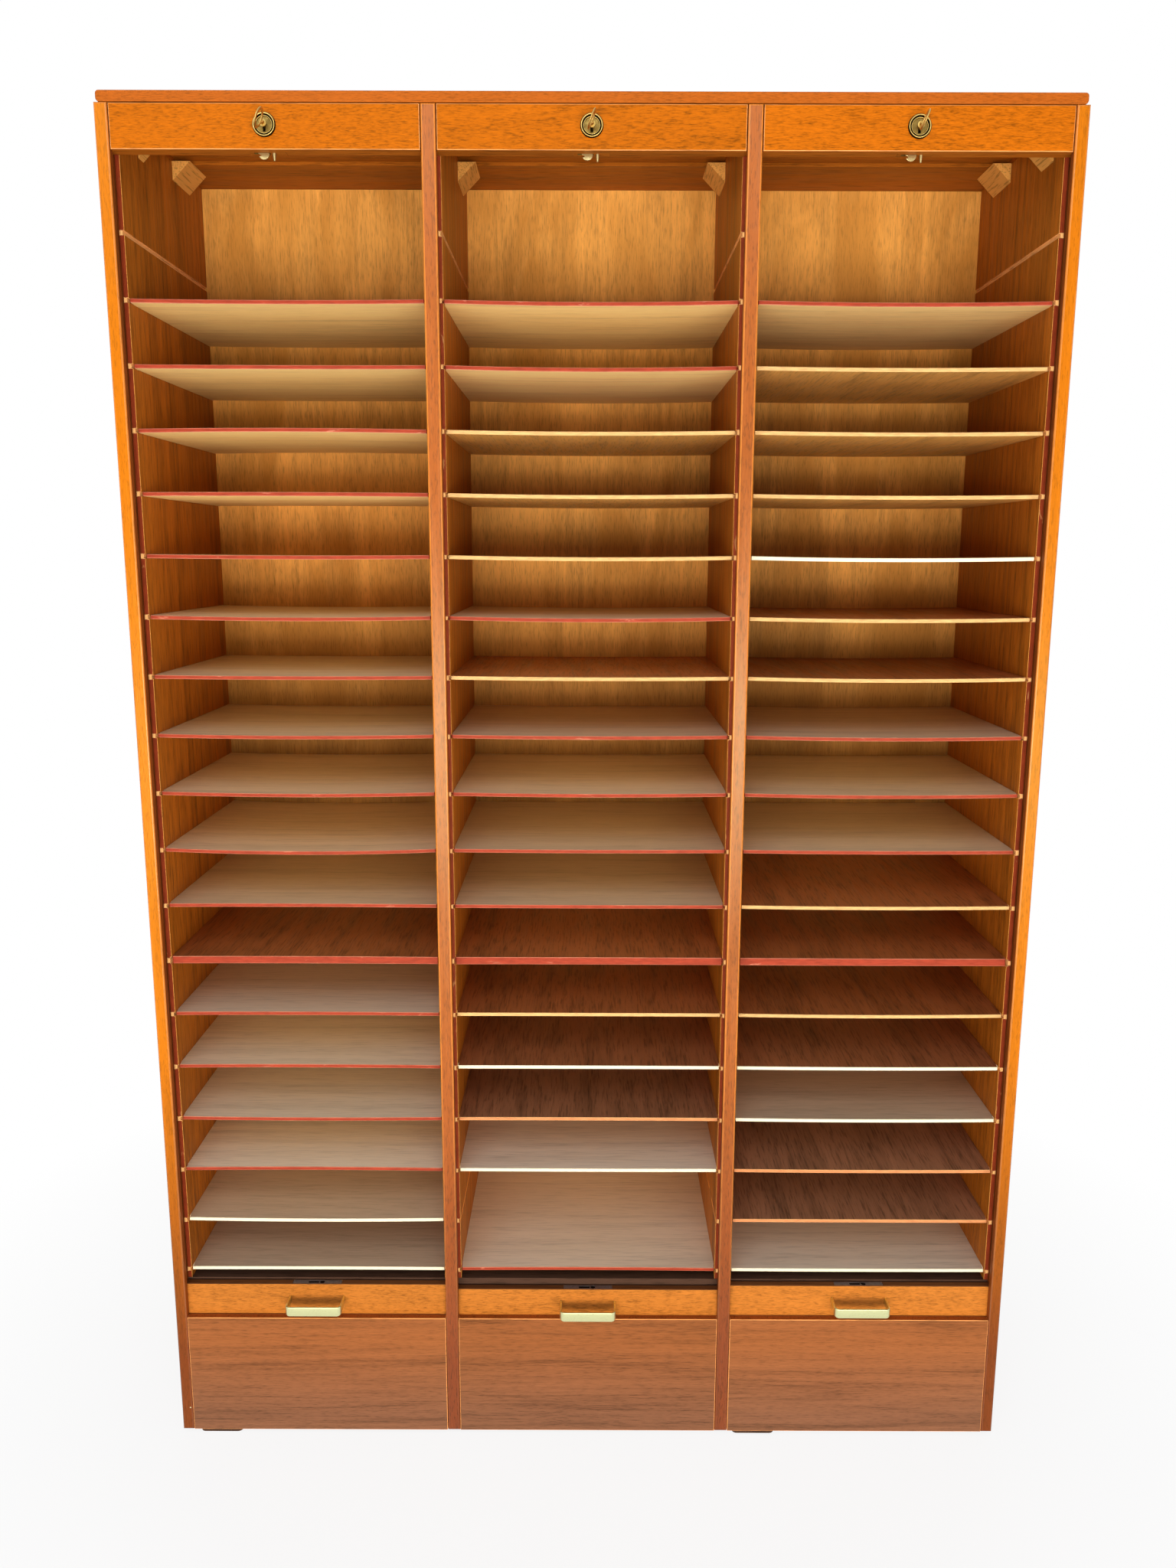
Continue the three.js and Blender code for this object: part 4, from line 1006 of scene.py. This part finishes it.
def build_glue_blocks():
    """Corner blocks: the CAD ones get their wood, and one more, a triangle carried back, sits further forward
    in each outer column."""
    for name in ("left", "middle_left", "middle_right", "right"):
        dress_node(f"glue_block_{name}", "block")
    for name, (side, start, end, leg) in FRONT_BLOCKS.items():
        low, high = corners(f"glue_block_{name}")
        corner = low[0] if side < 0 else high[0]
        section = np.array([
            (corner, high[2]), (corner - side * leg * MM, high[2]), (corner, high[2] - leg * MM)])
        origins = np.array([[0, FRONT + y * MM, 0] for y in (start, end)])
        mesh = grid_mesh(f"front_block_{name}", carried(section, origins, (1, 0, 0)))
        add_piece(mesh, ("block",), CASE)


def slat_outline(curtain, slats):
    """Outline of a run of slats as distance down and distance out: each slat bulges as a half sine."""
    share = np.linspace(0, 1, 5)
    bulge = curtain.slat_thickness - curtain.slat_crown + curtain.slat_crown * np.sin(pi * share)
    gap = 0.02
    one_down = np.concatenate([[gap], gap + share * (1 - 2 * gap), [1 - gap]])
    down = (np.arange(slats)[:, None] + one_down).ravel() * curtain.slat_pitch
    return down, np.tile(np.concatenate([[0], bulge, [0]]), slats)


def build_curtains(curtain):
    """A curtain in two pieces: the front run, which is packed behind the fascia at rest, and the stored run,
    which lies round the bends in the foot of the case."""
    for name in COLUMNS:
        travel = next(j for j in frame["joints"] if j["name"] == f"curtain_slide_{name}")["range_m"][1]
        packed = curtain.slat_pitch * curtain.slat_count - travel
        build_front_run(name, curtain, travel, packed)
        build_stored_run(name, curtain, packed)


def run_mesh(run, name, section, places):
    """Mesh of a run whose outline goes down its slats for a number of places and back along its canvas."""
    low, high = corners(f"curtain_{name}")
    finish = np.where(np.arange(len(section)) < places - 1, 0, 1)
    return board_mesh(f"curtain_{run}_{name}", section, low[0], high[0], finish=finish)


def build_front_run(name, curtain, travel, packed):
    """The run between the lead rail and the fascia. A point whose share of the packed height is s ends s
    times that height plus 3 s squared less 2 s cubed times the travel up; solved for s, this gives slats that
    are even when up."""
    low, high = corners(f"lead_rail_{name}")
    top, middle = low[2] - 0.0003, (low[1] + high[1]) / 2
    down, out = slat_outline(curtain, curtain.slat_count)
    canvas_down = np.linspace(down[-1], 0, curtain.slat_count * 2)
    front = middle + curtain.slat_thickness / 2
    y = np.concatenate([front - out, np.full(len(canvas_down), front + curtain.canvas)])
    distance = np.concatenate([down, canvas_down])
    share = np.linspace(0, 1, 4001)
    reached = share * packed + (3 * share**2 - 2 * share**3) * travel
    height = top - packed + np.interp(packed + travel - distance, reached, share) * packed
    mesh = run_mesh("front", name, np.stack([y, height], 1), len(down))
    stretch_distances(mesh, distance)
    piece = add_piece(mesh, ("slats", "canvas"), None, [f"curtain_{name}"])
    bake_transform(piece)


def stretch_distances(mesh, distance):
    """Writes the true distance down the curtain into the UV map, which the packed slats don't show."""
    layer = mesh.uv_layers["distance"]
    values = np.zeros(len(layer.data) * 2, np.float32)
    layer.data.foreach_get("uv", values)
    vertex = np.zeros(len(mesh.loops), np.int32)
    mesh.loops.foreach_get("vertex_index", vertex)
    values[1::2] = distance[vertex % len(distance)]
    layer.data.foreach_set("uv", values)


def route_points(start, bottom, front, rear, radius, distance):
    """Point and direction at distances along the track: down, a quarter turn, back, a quarter turn and up."""
    quarter = radius * pi / 2
    bend = bottom + radius
    first, level, second, up = np.cumsum([start - bend, quarter, rear - front - 2 * radius, quarter])
    turn, turn_up = (np.clip((distance - limit) / radius, 0, pi / 2) for limit in (first, second))
    back = np.clip(distance - level, 0, second - level)
    y = front + radius - radius * np.cos(turn) + back + radius * np.sin(turn_up)
    z = np.maximum(start - distance, bend) - radius * np.sin(turn)
    z += radius * (1 - np.cos(turn_up)) + np.maximum(distance - up, 0)
    return y, z, turn + turn_up


def build_stored_run(name, curtain, packed):
    """The run that lies round the bends and behind the inner back at rest."""
    low, high = corners(f"curtain_{name}")
    lead_low, lead_high = corners(f"lead_rail_{name}")
    thickness = curtain.slat_thickness
    front, rear = (lead_low[1] + lead_high[1] + thickness) / 2, high[1] - thickness
    route = lead_low[2] - packed - MM, low[2] + thickness, front, rear, curtain.bend_radius
    slats = curtain.slat_count - 2
    down, out = slat_outline(curtain, slats)
    sides = []
    for distance, off in ((down, -out), (np.linspace(down[-1], 0, slats * 2), curtain.canvas)):
        y, z, turn = route_points(*route, distance)
        sides.append(np.stack([y + off * np.cos(turn), z + off * np.sin(turn)], 1))
    mesh = run_mesh("stored", name, np.concatenate(sides), len(down))
    piece = add_piece(mesh, ("slats", "canvas"), CASE, [f"curtain_{name}"])
    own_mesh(piece)


def build_handles(metals):
    """A handle: a rounded strip section carried round a U in plan; its lower edge rises towards the arms."""
    thin, tall = metals.handle_strip / 2, metals.handle_height / 2
    strip = rounded_section((-thin, -tall), (thin, tall), metals.handle_round, 4)
    half, radius = metals.handle_width / 2 - thin, metals.handle_bend - thin
    turns = np.linspace(0, pi / 2, 9)
    facing = np.concatenate([[0.0], turns])
    turned = np.concatenate([facing, pi - facing[::-1]])
    out = np.stack([np.cos(turned), -np.sin(turned), np.zeros(len(turned))], 1)
    rise = metals.handle_corner * (1 - np.sin(np.minimum(turned, pi - turned)))
    for name in COLUMNS:
        low, high = corners(f"handle_{name}")
        front = low[1] + metals.handle_bend
        bend = np.stack([half - radius + radius * np.cos(turns), front - radius * np.sin(turns)], 1)
        right = np.concatenate([[[half, high[1]]], bend])
        plan = np.concatenate([right, right[::-1] * [-1, 1]])
        origins = np.insert(plan + [column_centre(name), 0], 2, (low[2] + high[2]) / 2, 1)
        grid = lay_section(strip, origins, out, np.tile([0.0, 0.0, 1.0], (len(plan), 1)))
        grid[:, :, 2] += rise[:, None] * (strip[:, 1] < 0)
        mesh = grid_mesh(f"handle_{name}_strip", grid, smooth=True)
        mesh.set_sharp_from_angle(angle=radians(35))
        add_piece(mesh, ("champagne",), f"lead_{name}", [f"handle_{name}"])


def lock_centre(name):
    """The axis of a column's lock, which runs along Y."""
    low, high = corners(f"lock_rose_{name}")
    return np.array([column_centre(name), 0, (low[2] + high[2]) / 2])


def build_roses(metals):
    """A rose is a turned ring: a rounded outer rim, a shallow hollow and a raised lip round the disc."""
    bore, height = metals.disc_radius, metals.rose_height
    width = metals.rose_radius - bore
    finish = [darkened for _, _, darkened in ROSE_OUTLINE]
    for name in COLUMNS:
        face = corners(f"lock_rose_{name}")[1][1] - height
        profile = [(bore + width * u, face + height * v) for u, v, _ in ROSE_OUTLINE]
        mesh = turned_mesh(f"rose_{name}", profile, lock_centre(name), smooth=True, finish=finish)
        add_piece(mesh, ("brass", "groove"), CASE, [f"lock_rose_{name}"])


def build_lock_cases():
    """The hook, and the lock's body with its disc, keyhole and guide pin, which is bright below the rail."""
    for name in COLUMNS:
        bottom = corners(f"top_rail_{name}")[0][2] - HAIR
        eased_piece(f"lock_case_{name}", f"lock_body_{name}", 0,
                    lambda middle, normal: 2 if middle.z < bottom else 3 if normal.z < -ALONG else 0,
                    ("bronze", "bronze", "bright", "ceiling"), "steel")
        hook = eased_mesh(f"hook_bolt_{name}", f"hook_{name}_plate", 3 * HAIR)
        add_piece(hook, ("bright", "bright"), f"hook_{name}", [f"hook_bolt_{name}"])


def build_keys(metals):
    """A key: an oval wire carried round a leaning ring, and a turned shaft with a collar, into the lock."""
    turns = np.arange(48) / 48 * tau
    round_wire = np.arange(12) / 12 * tau
    flatness = 0.55
    wire = np.stack([np.cos(round_wire), np.sin(round_wire) * flatness], 1) * metals.bow_wire
    lean = metals.key_lean
    upright, sideways = [sin(lean), 0, cos(lean)], [cos(lean), 0, -sin(lean)]
    spokes = np.stack([np.cos(turns), np.sin(turns)], 1) @ np.array([[0, 1, 0], upright])
    ring_y = FRONT + MM - metals.key_reach
    nose, shaft, collar = 0.0019, metals.shaft_radius, metals.collar_radius
    start, end = ring_y + metals.bow_radius, FRONT + 0.012
    collar_start, collar_end = FRONT - 0.007, FRONT - 0.0042
    profile = [
        (2 * HAIR, start), (nose, start + 2 * HAIR), (shaft, start + MM), (shaft, collar_start),
        (collar, collar_start + 2 * HAIR), (collar, collar_end - 4 * HAIR), (shaft, collar_end), (shaft, end),
        (2 * HAIR, end),
    ]
    for name in COLUMNS:
        centre = lock_centre(name)
        origins = centre + [0, ring_y, 0] + spokes * metals.bow_radius
        grid = lay_section(wire, origins, spokes, np.tile(sideways, (len(turns), 1)))
        ring = grid_mesh(f"key_ring_{name}", grid, ring=True, smooth=True)
        stem = turned_mesh(f"key_shaft_{name}", profile, centre, 24, smooth=True)
        stem.set_sharp_from_angle(angle=radians(40))
        for mesh in (ring, stem):
            add_piece(mesh, ("key",), f"turning_key_{name}", [f"key_{name}"])


def build_nail():
    """The head of a nail, turned, low on the front of the left side."""
    centre = np.array([corners("side_left")[1][0] - 3.5 * MM, FRONT, 41 * MM])
    profile = np.array([(0.05, -0.3), (0.7, -0.25), (1.1, 0), (0.9, 1), (0.05, 1)]) * MM
    mesh = turned_mesh("fascia_nail", profile, centre, 16, smooth=True)
    add_piece(mesh, ("champagne",), CASE)


# Stage
def floor_finish():
    """Pale floor: it keeps the cabinet's shadow near it and fades into the white background further away."""
    finish = Finish("stage_floor")
    distance = finish.node("VectorMath", {0: finish.place}, operation="LENGTH").outputs[1]
    mottled = finish.cloud(finish.place, (2, 2, 2), 3.0)
    finish.set(Base_Color=finish.ramp(mottled, ((0.3, 0.86), (0.7, 0.9))), Roughness=0.8)
    glow = finish.node("Emission", {"Color": (1, 1, 1), "Strength": 1.0}).outputs[0]
    share = finish.times(finish.spread(distance, 0.6, 1.3, 0.86, 1.0), seen_rays(finish.tree))
    both = finish.node("MixShader", {0: share, 1: finish.shader.outputs[0], 2: glow})
    finish.tree.links.new(both.outputs[0], finish.tree.nodes["Material Output"].inputs[0])
    return finish.material


def seen_rays(tree):
    """One for what the camera sees, straight, mirrored or through glass, and nought for light on things."""
    path = tree.nodes.new("ShaderNodeLightPath").outputs
    seen = path["Is Camera Ray"]
    for kind in ("Is Glossy Ray", "Is Transmission Ray"):
        either = tree.nodes.new("ShaderNodeMath")
        either.operation = "MAXIMUM"
        tree.links.new(seen, either.inputs[0])
        tree.links.new(path[kind], either.inputs[1])
        seen = either.outputs[0]
    return seen


def build_floor():
    """A flat square grid, far wider than the picture."""
    side, lines = 14.0, 9
    steps = np.linspace(-side / 2, side / 2, lines)
    x, y = np.meshgrid(steps, steps, indexing="ij")
    index = np.arange(x.size).reshape(x.shape)
    quads = np.stack([index[:-1, :-1], index[1:, :-1], index[1:, 1:], index[:-1, 1:]], -1).reshape(-1, 4)
    mesh = bpy.data.meshes.new("floor")
    mesh.from_pydata(np.stack([x.ravel(), y.ravel(), np.zeros(x.size)], 1).tolist(), [], quads.tolist())
    floor = bpy.data.objects.new("floor", mesh)
    bpy.context.scene.collection.objects.link(floor)
    mesh.materials.append(floor_finish())


def add_lamp(name, place, aim, size, power, tint, mirrored):
    """A soft rectangular lamp that faces a point; one that isn't mirrored leaves no glare on varnish."""
    lamp = bpy.data.lights.new(name, "AREA")
    lamp.shape = "RECTANGLE"
    lamp.size, lamp.size_y = size
    lamp.energy = power
    lamp.color = tint
    holder = bpy.data.objects.new(name, lamp)
    bpy.context.scene.collection.objects.link(holder)
    away = np.array(place) - np.array(aim)
    away = away / np.linalg.norm(away)
    side = np.cross([0, 0, 1], away)
    side = side / np.linalg.norm(side)
    turn = Matrix(np.stack([side, np.cross(away, side), away], 1).tolist()).to_4x4()
    holder.matrix_world = Matrix.Translation(place) @ turn
    holder.visible_camera = False
    holder.visible_glossy = mirrored


def build_stage(look):
    """The fitted camera, the floor, the lamps and the room's light."""
    scene = bpy.context.scene
    camera = bpy.data.cameras.new("photo_camera")
    camera.lens = look.lens
    holder = bpy.data.objects.new("photo_camera", camera)
    scene.collection.objects.link(holder)
    turn = Matrix.Rotation(look.yaw, 4, "Z") @ Matrix.Rotation(pi / 2 - look.pitch, 4, "X")
    turn = turn @ Matrix.Rotation(look.roll, 4, "Z")
    holder.matrix_world = Matrix.Translation((-look.offset, -look.distance, look.height)) @ turn
    scene.camera = holder
    scene.view_settings.view_transform = "Standard"
    build_floor()
    warm, cool = (1.0, 0.95, 0.88), (0.84, 0.95, 1.1)
    for name, place, aim, size, power, tint, mirrored in (
        ("low", (0.1, -3.7, 0.47), (0, 0, 1.0), (4.0, 0.9), look.low_lamp, warm, True),
        ("ground", (0, -1.87, 0.12), (0, -1.4, 1.0), (3.4, 1.2), look.ground_lamp, warm, False),
        ("level", (0, -3.6, 0.95), (0, 0, 1.3), (4.0, 0.4), look.level_lamp, warm, False),
        ("under", (0, -3.6, 0.5), (0, 0, 1.3), (4.0, 0.8), look.under_lamp, warm, False),
        ("high", (-0.6, -3.0, 3.1), (0, 0, 0.9), (3.0, 1.6), look.high_lamp, cool, True),
    ):
        add_lamp(f"{name}_softbox", place, aim, size, power, tint, mirrored)
    build_sky(scene, look)


def build_sky(scene, look):
    """White behind the cabinet, and a weaker even light from all round."""
    world = bpy.data.worlds.new("plain_room")
    world.use_nodes = True
    scene.world = world
    tree = world.node_tree
    backdrop = tree.nodes["Background"]
    backdrop.inputs["Color"].default_value = (1, 1, 1, 1)
    strength = tree.nodes.new("ShaderNodeMapRange")
    strength.inputs["To Min"].default_value = look.sky
    strength.inputs["To Max"].default_value = 1.0
    tree.links.new(seen_rays(tree), strength.inputs["Value"])
    tree.links.new(strength.outputs[0], backdrop.inputs["Strength"])


# Operators: one for each group of pieces
class CABINET_OT_stage(Operator):
    """Set up the camera, floor, lamps and room light"""

    bl_idname = "cabinet.stage"
    bl_label = "Stage"

    def execute(self, context):
        build_stage(context.scene.cabinet_stage)
        return {"FINISHED"}


class CABINET_OT_finishes(Operator):
    """Make the woods, paints, cloth and metals"""

    bl_idname = "cabinet.finishes"
    bl_label = "Finishes"

    def execute(self, context):
        scene = context.scene
        make_finishes(scene.cabinet_woods, scene.cabinet_metals, scene.cabinet_boards, scene.cabinet_curtains)
        return {"FINISHED"}


class CABINET_OT_carcase(Operator):
    """Ease and dress the sides, partitions, top, base, backs and feet"""

    bl_idname = "cabinet.carcase"
    bl_label = "Carcase"

    def execute(self, context):
        boards = context.scene.cabinet_boards
        build_uprights(boards)
        build_top(boards)
        build_plain_boards()
        build_ceiling_panels(boards)
        build_glue_blocks()
        build_nail()
        return {"FINISHED"}


class CABINET_OT_rails(Operator):
    """Ease and dress the fascias, top rails and lead rails"""

    bl_idname = "cabinet.rails"
    bl_label = "Rails and fascias"

    def execute(self, context):
        boards = context.scene.cabinet_boards
        build_fascias(boards)
        build_top_rails(boards)
        build_lead_rails(boards)
        return {"FINISHED"}


class CABINET_OT_linings(Operator):
    """Cut the linings with their kerfs"""

    bl_idname = "cabinet.linings"
    bl_label = "Linings"

    def execute(self, context):
        build_linings(context.scene.cabinet_boards)
        return {"FINISHED"}


class CABINET_OT_shelves(Operator):
    """Lay every shelf in its kerfs"""

    bl_idname = "cabinet.shelves"
    bl_label = "Shelves"

    def execute(self, context):
        build_shelves(context.scene.cabinet_boards)
        return {"FINISHED"}


class CABINET_OT_curtains(Operator):
    """Make the slatted curtains"""

    bl_idname = "cabinet.curtains"
    bl_label = "Curtains"

    def execute(self, context):
        build_curtains(context.scene.cabinet_curtains)
        return {"FINISHED"}


class CABINET_OT_handles(Operator):
    """Bend the strip handles"""

    bl_idname = "cabinet.handles"
    bl_label = "Handles"

    def execute(self, context):
        build_handles(context.scene.cabinet_metal_sizes)
        return {"FINISHED"}


class CABINET_OT_locks(Operator):
    """Turn the roses and keys and dress the locks"""

    bl_idname = "cabinet.locks"
    bl_label = "Locks and keys"

    def execute(self, context):
        sizes = context.scene.cabinet_metal_sizes
        build_roses(sizes)
        build_lock_cases()
        build_keys(sizes)
        return {"FINISHED"}


STEPS = (
    CABINET_OT_stage,
    CABINET_OT_finishes,
    CABINET_OT_carcase,
    CABINET_OT_rails,
    CABINET_OT_linings,
    CABINET_OT_shelves,
    CABINET_OT_curtains,
    CABINET_OT_handles,
    CABINET_OT_locks,
)


class CABINET_PT_steps(Panel):
    """Lists the building steps and the settings"""

    bl_idname = "CABINET_PT_steps"
    bl_label = "Filing cabinet"
    bl_space_type = "VIEW_3D"
    bl_region_type = "UI"
    bl_category = "Cabinet"

    def draw(self, context):
        for step in STEPS:
            self.layout.operator(step.bl_idname)
        for key, group in GROUPS.items():
            settings = getattr(context.scene, key)
            box = self.layout.box()
            box.label(text=group.__doc__)
            for name in group.__annotations__:
                box.prop(settings, name)


GROUPS = {
    "cabinet_boards": BoardSizes,
    "cabinet_curtains": CurtainSizes,
    "cabinet_metal_sizes": MetalSizes,
    "cabinet_woods": WoodColours,
    "cabinet_metals": MetalColours,
    "cabinet_stage": StageLook,
}


def register():
    for group in GROUPS.values():
        bpy.utils.register_class(group)
    for step in (*STEPS, CABINET_PT_steps):
        bpy.utils.register_class(step)
    for key, group in GROUPS.items():
        setattr(bpy.types.Scene, key, PointerProperty(type=group))


def unregister():
    for key in GROUPS:
        delattr(bpy.types.Scene, key)
    for step in (CABINET_PT_steps, *STEPS, *GROUPS.values()):
        bpy.utils.unregister_class(step)


def main():
    """Registers the add-on and runs its steps in order."""
    register()
    for step in STEPS:
        group, action = step.bl_idname.split(".")
        getattr(getattr(bpy.ops, group), action)()


if __name__ == "__main__":
    main()
